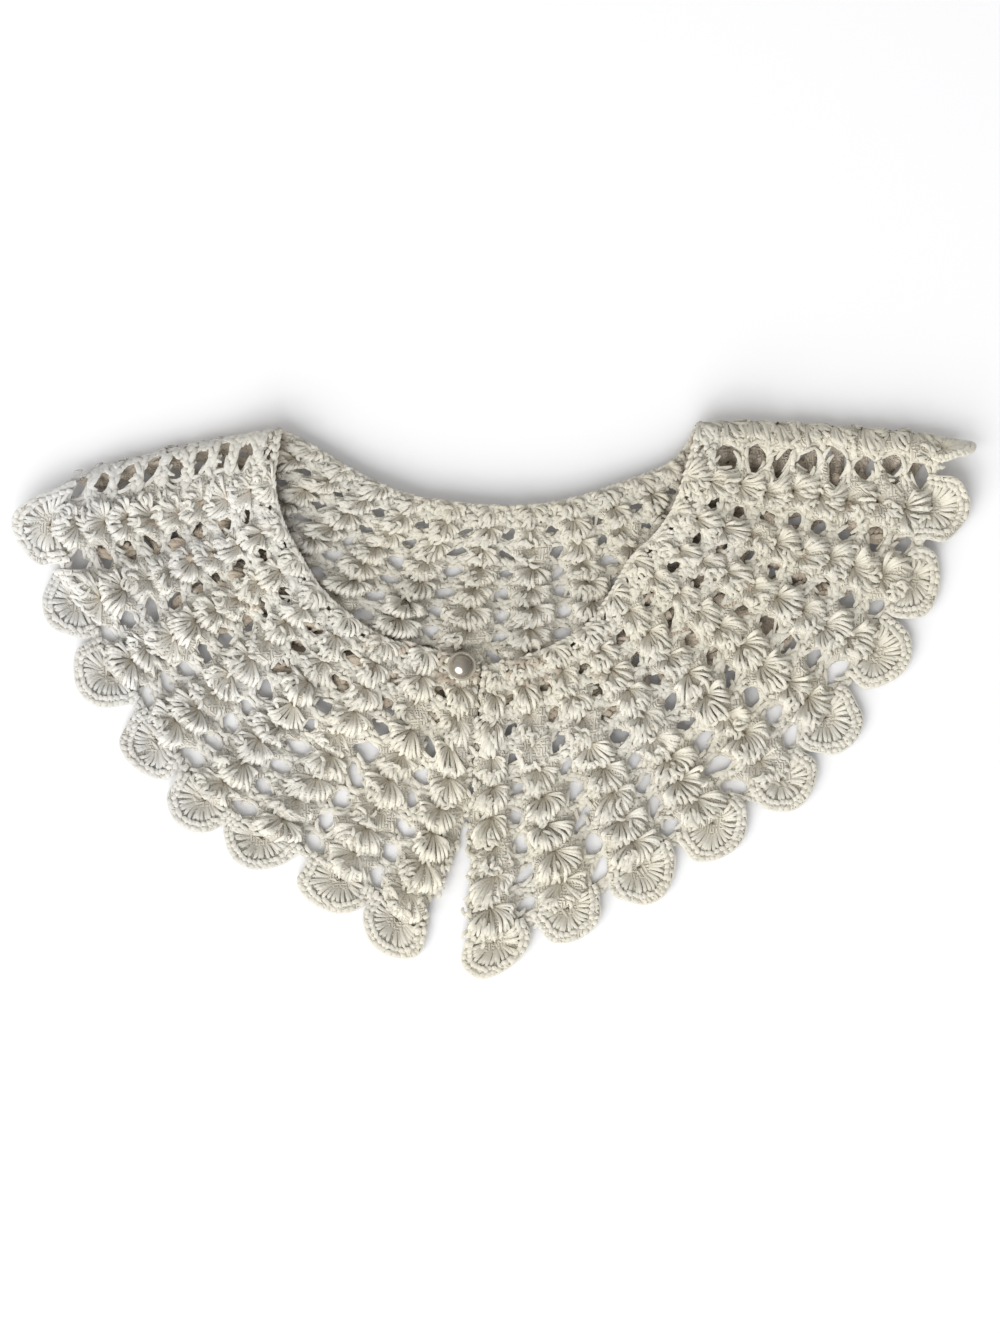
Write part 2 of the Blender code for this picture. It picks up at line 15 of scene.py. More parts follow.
import bpy
import numpy as np
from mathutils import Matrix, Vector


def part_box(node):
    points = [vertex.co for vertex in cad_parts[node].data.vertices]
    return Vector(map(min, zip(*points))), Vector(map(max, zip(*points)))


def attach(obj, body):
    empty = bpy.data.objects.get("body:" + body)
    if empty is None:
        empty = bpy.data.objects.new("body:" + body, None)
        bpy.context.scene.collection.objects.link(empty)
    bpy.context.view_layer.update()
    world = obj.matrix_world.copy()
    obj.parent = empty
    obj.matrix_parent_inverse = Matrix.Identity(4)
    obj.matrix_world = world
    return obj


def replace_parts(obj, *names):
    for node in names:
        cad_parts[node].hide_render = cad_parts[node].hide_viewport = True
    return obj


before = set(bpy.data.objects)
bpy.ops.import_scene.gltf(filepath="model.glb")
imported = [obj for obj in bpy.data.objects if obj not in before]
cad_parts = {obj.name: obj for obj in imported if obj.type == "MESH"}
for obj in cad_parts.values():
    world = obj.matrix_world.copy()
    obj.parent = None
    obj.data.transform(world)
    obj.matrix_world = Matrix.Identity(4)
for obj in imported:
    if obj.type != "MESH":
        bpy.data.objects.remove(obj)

Array = np.ndarray
LOG = logging.getLogger("lace_collar")
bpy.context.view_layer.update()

MM = 0.001                                # one millimetre in metres
ORIGIN = np.array([0.70, 0.08, 0.0])      # the frame's origin in the plan tables' coordinates
ROWS = 9                                  # rows from the neckline to the scallops' centres
SCALLOP_RADIUS = 13.0
QUARTER = math.pi / 2
FAR = 1e3                                 # a length past everything
SAME = 0.1                                # column numbers closer than this mean one column
SOFTNESS = 1.3                            # how far a strand's upper side shades like the cloth's own
UNSEEN_FROM = 14.0                        # past the fronts' neckline, where only posts and web are drawn


def ease(x: Array) -> Array:
    """Smooth step: 3x^2 - 2x^3 between 0 and 1, and level outside."""
    x = np.clip(x, 0.0, 1.0)
    return x * x * (3 - 2 * x)


def put_in_scene(name: str, data: bpy.types.ID) -> bpy.types.Object:
    """A new object in the scene.

    Args:
        name: Its name.
        data: Its mesh, camera or light.

    Returns:
        The object.
    """
    thing = bpy.data.objects.new(name, data)
    bpy.context.scene.collection.objects.link(thing)
    return thing


def ripple(column: Array, row: Array) -> tuple[Array, Array, Array]:
    """Unevenness of hand work, as two crossing sine waves for each direction.

    Args:
        column: Column numbers.
        row: Row numbers.

    Returns:
        Shifts of column, row and lift, which fade out towards the neckline.
    """
    fade = ease(row / 2)
    aside = 0.030 * np.sin(2.3 * row + 1.7 * column + 0.6) + 0.018 * np.sin(5.1 * row - 2.9 * column)
    along = 0.045 * np.sin(1.9 * column - 1.3 * row) + 0.035 * np.sin(4.3 * column + 2.2 * row + 1)
    lift = 0.22 * np.sin(2.7 * column + 3.1 * row) + 0.18 * np.sin(1.1 * column - 4.7 * row + 2)
    return aside * fade, along * fade, lift * fade


@dataclass(frozen=True)
class Column:
    """A column of shells in plan: its neck end, its scallop's centre, and the bow of its middle."""

    neck_x: float
    neck_y: float
    hem_x: float
    hem_y: float
    bow: float


@dataclass
class Panel:
    """One layer of the laid cloth.

    Attributes:
        name: The CAD node that this panel stands for.
        columns: Its columns in plan, in order of column number.
        first: The first column's number.
        low_fold: Whether the low end is a shoulder fold's crest.
        high_fold: Whether the high end is one.
        face: 1 where the cloth's outward normal points up, -1 where it points down.
    """

    name: str
    columns: tuple[Column, ...]
    first: float
    low_fold: bool
    high_fold: bool
    face: float
    shoulder_radius: float = 3.4          # half the inner height of the rolled fold
    overhang: float = 0.12                # columns by which stitches may pass a front edge
    fold_snugness: float = 0.75           # part of the stitches' height that is lost on a fold's crest
    fold_reach: float = 11.0              # and how far from the crest they have it all again
    table: Array = field(init=False)

    def __post_init__(self) -> None:
        """Tabulates the columns, and the column numbers where the panel ends."""
        self.table = np.array([[c.neck_x, c.neck_y, c.hem_x, c.hem_y, c.bow] for c in self.columns])
        self.last = self.first + len(self.columns) - 1
        self.low = self.first if self.low_fold else self.first - 0.5
        self.high = self.last if self.high_fold else self.last + 0.5

    def across(self, place: Array) -> Array:
        """Plan values at a place among the columns: a Hermite curve through them, straight past the ends.

        Args:
            place: Places, counted in columns from the panel's first.

        Returns:
            Neck x and y, hem x and y, and bow at each place.
        """
        slopes = np.gradient(self.table, axis=0)
        i = np.clip(np.floor(place).astype(int), 0, len(self.table) - 2)
        f = place - i
        inside = np.clip(f, 0.0, 1.0)
        beyond = (f - inside)[..., None]
        inside = inside[..., None]
        square, cube = inside**2, inside**3
        curve = (self.table[i] * (2 * cube - 3 * square + 1) + self.table[i + 1] * (3 * square - 2 * cube)
                 + slopes[i] * (cube - 2 * square + inside) + slopes[i + 1] * (cube - square))
        return curve + beyond * np.where(beyond < 0, slopes[i], slopes[i + 1])

    @staticmethod
    def along(values: Array, row: Array) -> Array:
        """The point of a column at a row: a straight line from neck to hem, bowed as a parabola.

        Args:
            values: Plan values, as across gives them.
            row: Row numbers.

        Returns:
            The points, in the plan tables' coordinates.
        """
        part = (row / ROWS)[..., None]
        neck, hem, bow = values[..., 0:2], values[..., 2:4], values[..., 4:5]
        run = hem - neck
        side = np.stack([-run[..., 1], run[..., 0]], -1)
        side = side / np.linalg.norm(side, axis=-1, keepdims=True)
        return neck + run * part + side * bow * 4 * part * (1 - part)

    def fold_side(self, column: Array, row: Array) -> tuple[Array, Array]:
        """How the cloth runs in from a shoulder's crest.

        Next to a crest it rolls over on a half circle, so cloth length s moves in r(1 - cos(s / r)), and
        goes straight on after a quarter turn.

        Args:
            column: Column numbers.
            row: Row numbers.

        Returns:
            The cloth's length from the nearer crest, and the place among the columns that it has.
        """
        radius = self.shoulder_radius
        length = np.full_like(column, FAR)
        place = column.copy()
        for here, crest, ends, sign in ((self.low_fold, self.first, (0, 1), 1.0),
                                        (self.high_fold, self.last, (-1, -2), -1.0)):
            if not here:
                continue
            values = [np.broadcast_to(self.table[end], row.shape + (5,)) for end in ends]
            gap = np.linalg.norm(self.along(values[0], row) - self.along(values[1], row), axis=-1)
            turned = np.abs(column - crest)
            cloth = turned * (gap + (QUARTER - 1) * radius)
            inward = np.where(cloth < QUARTER * radius, radius * (1 - np.cos(cloth / radius)),
                              cloth - (QUARTER - 1) * radius)
            place = np.where(turned < 1, crest + sign * inward / gap, place)
            length = np.where(turned < 3, cloth, length)
        return length, place

    def plan(self, column: Array, row: Array) -> Array:
        """The place on the table of a point of the cloth."""
        return self.along(self.across(self.fold_side(column, row)[1] - self.first), row)

    def height(self, column: Array, row: Array, plan: Array) -> Array:
        """Height of the cloth's middle over the table; each layer has its own."""
        raise NotImplementedError

    def middle(self, column: Array, row: Array) -> Array:
        """A point of the cloth's middle surface.

        Args:
            column: Column numbers.
            row: Row numbers.

        Returns:
            The points, in the plan tables' coordinates.
        """
        column, row = np.broadcast_arrays(np.asarray(column, float), np.asarray(row, float))
        plan = self.plan(column, row)
        return np.concatenate([plan, self.height(column, row, plan)[..., None]], -1)

    def normal(self, column: Array, row: Array) -> Array:
        """The direction of lift: square to the cloth, towards the side that faces up.

        Args:
            column: Column numbers.
            row: Row numbers.

        Returns:
            Unit vectors.
        """
        step = 1e-3
        column = np.clip(column, self.low + step, self.high - step)
        across = self.middle(column + step, row) - self.middle(column - step, row)
        down = self.middle(column, row + step) - self.middle(column, row - step)
        out = self.face * np.cross(across, down)
        return out / np.linalg.norm(out, axis=-1, keepdims=True)

    def pitch(self, column: Array, row: Array) -> tuple[Array, Array]:
        """Lengths of cloth for one column and for one row, at a point.

        Args:
            column: Column numbers.
            row: Row numbers.

        Returns:
            The two lengths at each point.
        """
        step = 0.02
        column = np.clip(column, self.low + 2 * step, self.high - 2 * step)
        across = (self.middle(column + step, row) - self.middle(column - step, row)) / (2 * step)
        down = (self.middle(column, row + step) - self.middle(column, row - step)) / (2 * step)
        return np.linalg.norm(across, axis=-1), np.linalg.norm(down, axis=-1)

    def place(self, column: Array, row: Array, lift: Array) -> tuple[Array, Array]:
        """Carries cloth coordinates into the frame, with the hand's unevenness.

        Args:
            column: Column numbers.
            row: Row numbers.
            lift: Heights over the cloth's middle.

        Returns:
            The points, in millimetres in the frame, and the direction of lift at each.
        """
        aside, along, rise = ripple(column, row)
        column = np.clip(column + aside, self.low - (not self.low_fold) * self.overhang,
                         self.high + (not self.high_fold) * self.overhang)
        row = row + along
        normal = self.normal(column, row)
        snug = 1 - self.fold_snugness * (1 - ease(self.fold_side(column, row)[0] / self.fold_reach))
        return self.middle(column, row) + (lift * snug + rise)[..., None] * normal - ORIGIN, normal

    def under_fronts(self, points: Array) -> Array:
        """How far points in the frame lie under the fronts' cloth; the fronts themselves never do."""
        return np.full(points.shape[:-1], -FAR)

    def flat_cut(self) -> tuple[float, float, float]:
        """The panel's cut, spread flat: a sector of a ring, whose arcs are the cloth's own lengths.

        With arcs n at the neckline and c through the scallops' centres, a distance d apart, the ring's
        inner radius is n d / (c - n), its outer one is d and a scallop's radius more, and the sector's
        angle is n over the inner radius.

        Returns:
            Width and length of the rectangle round the sector, and the sector's area, in metres.
        """
        run = np.linspace(self.low, self.high, 200)
        neck, centres = (np.trapz(self.pitch(run, np.full(200, row))[0], run) for row in (0.0, float(ROWS)))
        rows = np.linspace(0, ROWS, 40)
        columns = self.centres()[:, None] + 0 * rows
        depth = np.trapz(self.pitch(columns, rows + 0 * columns)[1], rows, axis=1).mean()
        inner = neck * depth / (centres - neck)
        outer, angle = inner + depth + SCALLOP_RADIUS, neck / inner
        width, length = 2 * outer * math.sin(angle / 2), outer - inner * math.cos(angle / 2)
        return width * MM, length * MM, angle / 2 * (outer**2 - inner**2) * MM**2

    def centres(self) -> Array:
        """The numbers of the panel's columns, half columns at its folds included."""
        return self.first + np.arange(len(self.columns))

    def scallops(self) -> Array:
        """The numbers of the columns that end in a scallop: all but the one on the left crest."""
        centres = self.centres()
        return centres[np.abs(centres - LEFT_FOLD) > SAME]

    def scallop_form(self, centre: Array) -> tuple[Array, Array, Array]:
        """How a column's scallop differs from the others.

        On the right fold's crest it is drawn together, to a finger on the front, and the one beside the
        left crest is larger than the others.

        Args:
            centre: Column numbers.

        Returns:
            Shift in columns, and width and length as parts of the usual.
        """
        front = self.face > 0
        on_crest, by_crest = np.abs(centre - RIGHT_FOLD) < SAME, np.abs(centre - LEFT_FOLD + 1) < SAME
        cases = [front & on_crest, on_crest, front & by_crest]
        return (np.select(cases, [0.15, 0.0, 0.02], 0.0), np.select(cases, [0.34, 0.3, 1.22], 1.0),
                np.select(cases, [0.92, 0.4, 1.1], 1.0))

    def gaps(self) -> Array:
        """The column numbers between neighbouring columns, where the lace's gaps are."""
        return np.arange(math.floor(self.low) + 1, math.ceil(self.high))


@dataclass
class Lay:
    """How the layers lie over each other: heights and lengths in millimetres."""

    cloth: float = 1.6                    # thickness of the worked cloth
    layer: float = 2.9                    # height of the fronts' cloth over the back's
    hem_margin: float = 7.0               # the fronts stay that high until this far past the back's hem
    hem_ramp: float = 11.0                # and come down to the table over this length
    shoulder_taper: float = 26.0          # a shoulder's roll flattens out over this length
    neck_at_shoulder: float = 4.2         # how far the neckline stands off the table
    neck_at_back: float = 6.5
    neck_front_lift: float = 5.0          # extra height of the front neckline beside the shoulder
    neck_fall_rows: float = 3.6           # the raised neckline comes down over these rows

    def neck_fall(self, row: Array) -> Array:
        """1 at the neckline, falling to 0 where the cloth lies flat."""
        return ease(1 - row / self.neck_fall_rows)

    def back_height(self, column: Array, row: Array) -> Array:
        """Lower layer: flat, rising to the back of the neck as a squared sine between the folds.

        Args:
            column: Column numbers.
            row: Row numbers.

        Returns:
            Heights over the table.
        """
        across = np.sin(math.pi * (column - LEFT_FOLD) / (RIGHT_FOLD - LEFT_FOLD)) ** 2
        across = np.where((column < LEFT_FOLD) | (column > RIGHT_FOLD), 0.0, across)
        rise = self.neck_at_shoulder + (self.neck_at_back - self.neck_at_shoulder) * across
        return self.cloth / 2 + rise * self.neck_fall(row)


@dataclass
class Back(Panel):
    """The layer underneath, inside up.

    Attributes:
        neck_middle: A point in the middle of the neck opening, in the plan tables' coordinates.
        cover: Headings of the fronts' neckline from there, and its distances.
    """

    lay: Lay = field(default_factory=Lay)
    neck_middle: tuple[float, float] = (-2.0, 75.0)
    cover: Array = None

    def height(self, column: Array, row: Array, plan: Array) -> Array:
        """The lower half of each shoulder's roll, then the lower layer."""
        turn = np.clip(self.fold_side(column, row)[0] / self.shoulder_radius, 0, QUARTER)
        return self.lay.back_height(column, row) + self.shoulder_radius * (1 - np.sin(turn))

    def from_neck_middle(self, plan: Array) -> tuple[Array, Array]:
        """Headings from the neck's middle, from -270 to 90 degrees in radians, and distances.

        Args:
            plan: Points in the plan tables' coordinates.

        Returns:
            The headings and the distances.
        """
        away = plan - np.array(self.neck_middle)
        heading = np.arctan2(away[..., 1], away[..., 0])
        heading = np.where(heading > QUARTER, heading - 4 * QUARTER, heading)
        return heading, np.hypot(away[..., 0], away[..., 1])

    def lie_under(self, fronts: tuple["Front", ...]) -> None:
        """Tabulates the fronts' neckline, which runs round the neck's middle from crest to crest.

        Args:
            fronts: The two fronts.
        """
        runs = [np.linspace(front.low, front.high, 60) for front in fronts]
        line = np.concatenate([front.middle(run, 0 * run)[:, :2] for front, run in zip(fronts, runs)])
        heading, distance = self.from_neck_middle(line)
        order = np.argsort(heading)
        self.cover = np.stack([heading[order], distance[order]])

    def under_fronts(self, points: Array) -> Array:
        """How far points lie past the fronts' neckline, seen from the neck's middle."""
        heading, distance = self.from_neck_middle(points[..., :2] + ORIGIN[:2])
        return distance - np.interp(heading, *self.cover, left=FAR, right=FAR)


@dataclass
class Front(Panel):
    """A layer on top: a layer up where it lies on the back, and down on the table past it."""

    hem_line: Array = None                # plan points of the back's hem, which the front lies over
    lay: Lay = field(default_factory=Lay)

    def height(self, column: Array, row: Array, plan: Array) -> Array:
        """The laid height, with the shoulder's roll falling away from its crest.

        Args:
            column: Column numbers.
            row: Row numbers.
            plan: Where the points lie in plan.

        Returns:
            Heights over the table.
        """
        lay = self.lay
        crest, edge = (self.last, self.first) if self.high_fold else (self.first, self.last)
        shoulder = np.clip((column - edge) / (crest - edge), 0, 1)
        past = plan[..., 1] - np.interp(plan[..., 0], self.hem_line[:, 0], self.hem_line[:, 1])
        laid = lay.cloth / 2 + lay.layer * ease(1 + (past + lay.hem_margin) / lay.hem_ramp)
        laid = laid + (lay.neck_at_shoulder + lay.neck_front_lift) * shoulder**2 * lay.neck_fall(row)
        length = self.fold_side(column, row)[0]
        turn = np.clip(length / self.shoulder_radius, 0, QUARTER)
        rolled = lay.back_height(np.full_like(column, crest), row) + self.shoulder_radius * (1 + np.sin(turn))
        taper = ease((length - QUARTER * self.shoulder_radius) / lay.shoulder_taper)
        return rolled + (laid - rolled) * taper


LEFT_COLUMNS = (
    Column(-12.4, 15.4, -34.6, -77.8, 5.4),
    Column(-24.3, 18.6, -56.0, -62.8, 5.2),
    Column(-38.9, 22.1, -82.1, -49.3, 4.2),
    Column(-51.8, 30.7, -103.5, -35.0, 3.7),
    Column(-61.8, 40.0, -120.3, -13.9, 1.1),
    Column(-68.5, 50.7, -137.4, 10.0, 0.3),
    Column(-74.6, 62.8, -148.5, 34.6, 1.2),
    Column(-77.8, 77.1, -157.4, 62.1, 3.0),
)
LEFT_CREST = Column(-75.3, 96.0, -151.0, 79.3, -1.8)
BACK_COLUMNS = (
    Column(-63.2, 89.6, -139.2, 61.4, 0.0),
    Column(-51.8, 82.6, -121.4, 46.4, 0.0),
    Column(-39.3, 76.4, -97.5, 33.6, 0.0),
    Column(-26.8, 72.1, -71.4, 19.6, 0.0),
    Column(-13.9, 70.3, -43.9, 7.9, 0.0),
    Column(-0.4, 69.1, -15.4, 3.6, 0.0),
    Column(13.2, 69.3, 12.9, 3.6, 0.0),
    Column(26.1, 71.4, 41.8, 6.4, 0.0),
    Column(38.6, 75.3, 69.6, 14.3, 0.0),
    Column(50.3, 79.3, 94.6, 28.6, 0.0),
    Column(60.0, 83.2, 117.5, 46.4, 0.0),
    Column(66.8, 89.3, 139.6, 66.0, 0.0),
)
RIGHT_CREST = Column(71.8, 98.2, 158.9, 92.8, 2.0)
RIGHT_COLUMNS = (
    Column(66.8, 79.3, 155.3, 68.5, -0.8),
    Column(62.5, 67.1, 146.7, 41.8, -0.3),
    Column(56.0, 58.2, 134.9, 17.9, 0.5),
    Column(48.2, 50.7, 118.5, -6.1, 0.7),
    Column(41.1, 38.6, 101.7, -27.5, 0.4),
    Column(32.1, 26.4, 76.4, -43.6, 0.0),
    Column(20.3, 19.6, 52.5, -59.3, 0.0),
    Column(9.3, 15.0, 26.1, -73.5, -1.8),
    Column(0.2, 12.9, -0.4, -85.0, -0.6),
)
LEFT_FOLD = len(LEFT_COLUMNS) + 0.5       # column numbers of the two crests and of the right front edge
RIGHT_FOLD = LEFT_FOLD + len(BACK_COLUMNS) + 1
RIGHT_EDGE = RIGHT_FOLD + len(RIGHT_COLUMNS) + 0.5


def lay_out() -> tuple[Panel, Panel, Panel]:
    """The left front, back and right front of the laid collar.

    Returns:
        The three panels.
    """
    back = Back("back", (LEFT_CREST,) + BACK_COLUMNS + (RIGHT_CREST,), LEFT_FOLD, True, True, -1.0)
    numbers = np.linspace(LEFT_FOLD, RIGHT_FOLD, 57)
    hem_line = back.plan(numbers, np.full_like(numbers, ROWS + 1.6))
    left = Front("left_front", LEFT_COLUMNS + (LEFT_CREST,), 0.5, False, True, 1.0, hem_line=hem_line)
    right = Front("right_front", (RIGHT_CREST,) + RIGHT_COLUMNS, RIGHT_FOLD, True, False, 1.0,
                  hem_line=hem_line)
    back.lie_under((left, right))
    return left, back, right


@dataclass
class Surface:
    """Points and faces of a mesh in the making, in millimetres in the frame.

    Attributes:
        points: One row for each point.
        faces: Face tables, each with faces of one number of corners.
        uvs: For each face table, a pair of numbers for each corner.
        tone: Lightness of the yarn at each point, about 0 for the usual.
        depth: How deep a point lies among the stitches, from 0 to 1, and past 1 in a pin hole: its painted
            shade.
        normals: Directions that points are shaded by, or zeros for the mesh's own.
    """

    points: Array
    faces: list[Array]
    uvs: list[Array]
    tone: Array
    depth: Array
    normals: Array = None

    def __post_init__(self) -> None:
        """Leaves the shading to the mesh where no directions are given."""
        if self.normals is None:
            self.normals = np.zeros_like(self.points)

    @staticmethod
    def join(parts: list["Surface"]) -> "Surface":
        """Several surfaces as one, their points counted on.

        Args:
            parts: The surfaces.

        Returns:
            The one surface.
        """
        faces, uvs, start = [], [], 0
        for part in parts:
            faces += [table + start for table in part.faces]
            uvs += part.uvs
            start += len(part.points)
        points, tone, depth, normals = (np.concatenate([getattr(part, name) for part in parts])
                                        for name in ("points", "tone", "depth", "normals"))
        return Surface(points, faces, uvs, tone, depth, normals)

    def make(self, name: str, finish: bpy.types.Material, slot: str) -> bpy.types.Object:
        """Writes the mesh as a smooth object that rides with the collar, pressed flat by the table.

        Args:
            name: The piece's name.
            finish: Its material.
            slot: The record's material slot; not used.

        Returns:
            The new object.
        """
        sizes = np.concatenate([np.full(len(t), t.shape[1]) for t in self.faces]).astype(np.int32)
        corners = np.concatenate([t.ravel() for t in self.faces]).astype(np.int32)
        self.points[:, 2] = np.maximum(self.points[:, 2], 0.0)
        mesh = bpy.data.meshes.new(name)
        mesh.vertices.add(len(self.points))
        mesh.vertices.foreach_set("co", (self.points * MM).astype(np.float32).ravel())
        mesh.loops.add(len(corners))
        mesh.loops.foreach_set("vertex_index", corners)
        mesh.polygons.add(len(sizes))
        mesh.polygons.foreach_set("loop_start", np.concatenate([[0], np.cumsum(sizes)[:-1]]).astype(np.int32))
        mesh.polygons.foreach_set("loop_total", sizes)
        mesh.polygons.foreach_set("use_smooth", np.ones(len(sizes), bool))
        layer = mesh.uv_layers.new(name="yarn")
        layer.data.foreach_set("uv", np.concatenate([t.ravel() for t in self.uvs]).astype(np.float32))
        for label, values in (("tone", self.tone), ("depth", self.depth)):
            attribute = mesh.attributes.new(label, "FLOAT", "POINT")
            attribute.data.foreach_set("value", values.astype(np.float32))
        mesh.update(calc_edges=True)
        mesh.validate()
        mesh.normals_split_custom_set_from_vertices(self.normals)
        mesh.materials.append(finish)
        piece = put_in_scene(name, mesh)
        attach(piece, "root")
        LOG.info("%s: %d points, %d triangles", name, len(self.points), int((sizes - 2).sum()))
        return piece


def tubes(points: Array, normals: Array, radii: Array, sides: int, tone: Array, depth: Array,
          flatness: float = 1.0) -> Surface:
    """Strands along many paths at once.

    Each ring is centre + r(cos a * side + f sin a * up), where side is square to the path and to the
    normal, up is square to both, and f is the flatness. The angles a are those of a polygon that stands
    on a flat, and r is the distance of its flats. The ends are closed. Loosely spun yarn shades softly:
    the upper points' shading directions are turned towards up.

    Args:
        points: Paths, as strands x points x 3.
        normals: A direction that isn't along the path, at each point.
        radii: Strands x points.
        sides: Sides of a strand.
        tone: Lightness, strands x points.
        depth: Depth among the stitches, strands x points.
        flatness: Height of a strand as a part of its width.

    Returns:
        The strands' closed surface. Its map runs 0 to 1 round a strand, and in millimetres along it.
    """
    count, length = points.shape[:2]
    tangent = np.gradient(points, axis=1)
    tangent /= np.linalg.norm(tangent, axis=-1, keepdims=True) + 1e-9
    side = np.cross(tangent, normals)
    side /= np.linalg.norm(side, axis=-1, keepdims=True) + 1e-9
    up = np.cross(side, tangent)
    angle = QUARTER + 2 * math.pi * (np.arange(sides) + 0.5) / sides
    ring = (np.cos(angle)[:, None] * side[:, :, None, :]
            + flatness * np.sin(angle)[:, None] * up[:, :, None, :])
    rings = points[:, :, None, :] + radii[:, :, None, None] / math.cos(math.pi / sides) * ring
    number = np.arange(count * length * sides).reshape(count, length, sides)
    turned = np.roll(number, -1, axis=2)
    quads = np.stack([number[:, :-1], number[:, 1:], turned[:, 1:], turned[:, :-1]], -1).reshape(-1, 4)
    run = np.concatenate([np.zeros((count, 1)),
                          np.cumsum(np.linalg.norm(np.diff(points, axis=1), axis=-1), axis=1)], 1)
    run = np.broadcast_to(run[:, :, None], number.shape)
    turn = np.broadcast_to(np.arange(sides) / sides, number.shape)
    here, there = turn[:, :-1], turn[:, :-1] + 1 / sides
    uv = np.stack([np.stack([here, run[:, :-1]], -1), np.stack([here, run[:, 1:]], -1),
                   np.stack([there, run[:, 1:]], -1), np.stack([there, run[:, :-1]], -1)], -2)
    caps = np.concatenate([number[:, 0], number[:, -1, ::-1]])
    ends = np.repeat(run[:, [0, -1], 0].T.ravel(), sides).reshape(caps.shape)
    cap_uv = np.stack([np.zeros(caps.shape), ends], -1)
    spread = [np.repeat(values.ravel(), sides) for values in (tone, depth)]
    facing = (np.cos(angle)[:, None] * side[:, :, None, :]
              + (np.sin(angle) + SOFTNESS * (np.sin(angle) > 0))[:, None] * up[:, :, None, :])
    facing /= np.linalg.norm(facing, axis=-1, keepdims=True)
    return Surface(rings.reshape(-1, 3), [quads, caps], [uv.reshape(-1, 4, 2), cap_uv], *spread,
                   facing.reshape(-1, 3))


@dataclass
class Strands:
    """Many strands of yarn in cloth coordinates, each array strands x points."""

    column: Array
    row: Array
    lift: Array
    radius: Array
    tone: Array
    depth: Array

    @staticmethod
    def join(parts: list["Strands"]) -> "Strands":
        """Several sets of strands with the same number of points as one."""
        names = ("column", "row", "lift", "radius", "tone", "depth")
        return Strands(*(np.concatenate([getattr(part, name) for part in parts]) for name in names))

    def surface(self, panel: Panel, sides: int, flatness: float = 1.0, covered: bool = True) -> Surface:
        """The tubes of those strands that lie in a panel.

        Args:
            panel: The panel.
            sides: Sides of a strand.
            flatness: Height of a strand as a part of its width.
            covered: Whether strands well under the fronts are made too.

        Returns:
            The strands' surface.
        """
        middle = self.column.mean(1)
        kept = (middle >= panel.low) & (middle <= panel.high)
        if not covered:
            points = panel.middle(middle, self.row.mean(1)) - ORIGIN
            kept &= panel.under_fronts(points) < UNSEEN_FROM
        points, normals = panel.place(self.column[kept], self.row[kept], self.lift[kept])
        return tubes(points, normals, self.radius[kept], sides, self.tone[kept], self.depth[kept], flatness)


@dataclass(frozen=True)
class ShellRow:
    """One row of shells: what a shell in it has.

    Attributes:
        posts: Posts in a shell.
        swell: How far the shell stands over the cloth's middle, in millimetres.
        curls: Stray curls of yarn on a shell.
        gap_long: Longer half axis of the gap beside it, as a part of the column's pitch.
        gap_short: Shorter half axis, in millimetres.
    """

    posts: int
    swell: float
    curls: int
    gap_long: float
    gap_short: float


SHELL_ROWS = (
    ShellRow(5, 2.2, 12, 0.08, 0.9),
    ShellRow(5, 3.5, 12, 0.17, 1.5),
    ShellRow(6, 3.3, 14, 0.17, 1.7),
    ShellRow(6, 4.3, 12, 0.16, 2.0),
    ShellRow(7, 3.9, 15, 0.155, 2.2),
    ShellRow(7, 4.8, 13, 0.155, 2.4),
    ShellRow(8, 4.2, 16, 0.15, 2.6),
    ShellRow(8, 5.0, 14, 0.15, 2.7),
    ShellRow(8, 4.3, 16, 0.15, 2.7),
)
GAP_PLACE = 0.32                          # a gap's middle, in parts of its row
LACE_START = 2.0                          # from the neckline to the lace, under the edging
EDGE_SIDE, EDGE_MIDDLE = 0.66, 0.97       # a row's edge at the gaps and at the shells' middles
SHELL_HALF_WIDTH, SHELL_LENGTH = 0.44, 0.97   # in columns and in rows
SHELL_CROWN = 0.66                        # where a shell is highest, in parts of its reach
SINKS_FROM, SINKS_OVER, SINKS_BY = 0.74, 0.31, 0.75   # and where and how far it sinks again
PIN_HOLE_DEPTH = 0.35                     # millimetres under the cloth's middle


def edge_place(aside: Array) -> Array:
    """Where a row's edge runs: EDGE_SIDE + (EDGE_MIDDLE - EDGE_SIDE) cos^2(pi * aside)."""
    return EDGE_SIDE + (EDGE_MIDDLE - EDGE_SIDE) * np.cos(math.pi * aside) ** 2


def shell_lift(aside: Array, down: Array, swell: Array) -> Array:
    """Height of a shell's base cloth.

    With q = sqrt((aside / SHELL_HALF_WIDTH)^2 + (down / SHELL_LENGTH)^2), it rises from the pin hole to
    q = SHELL_CROWN, sinks past SINKS_FROM and is near the cloth at q = 1.05, where the next shell comes
    out from under it.

    Args:
        aside: Distances from the shell's middle, in columns.
        down: Distances from its pin hole, in rows.
        swell: How far the shell stands over the cloth's middle.

    Returns:
        Heights over the cloth's middle.
    """
    reach = np.hypot(aside / SHELL_HALF_WIDTH, down / SHELL_LENGTH)
    sinking = 1 - SINKS_BY * ease((reach - SINKS_FROM) / SINKS_OVER)
    return swell * ease(reach / SHELL_CROWN) * sinking - PIN_HOLE_DEPTH


def slit_inset(row: Array, left: bool) -> Array:
    """How far a front edge stands back from its line, as a part of a column.

    Args:
        row: Row numbers.
        left: Whether it is the left front's.

    Returns:
        The insets.
    """
    if left:
        closing = 1 - 0.7 * ease((row - 7.8) / 1.2)
        return -0.09 + 0.09 * ease((row - 5.9) / 0.8) + 0.08 * ease((row - 6.4) / 1.5) * closing
    inset = -0.07 + 0.07 * ease((row - 5.6) / 0.8) + 0.05 * ease((row - 6) / 1.5)
    return inset + 0.07 * ease((row - 7.5) / 1.5)


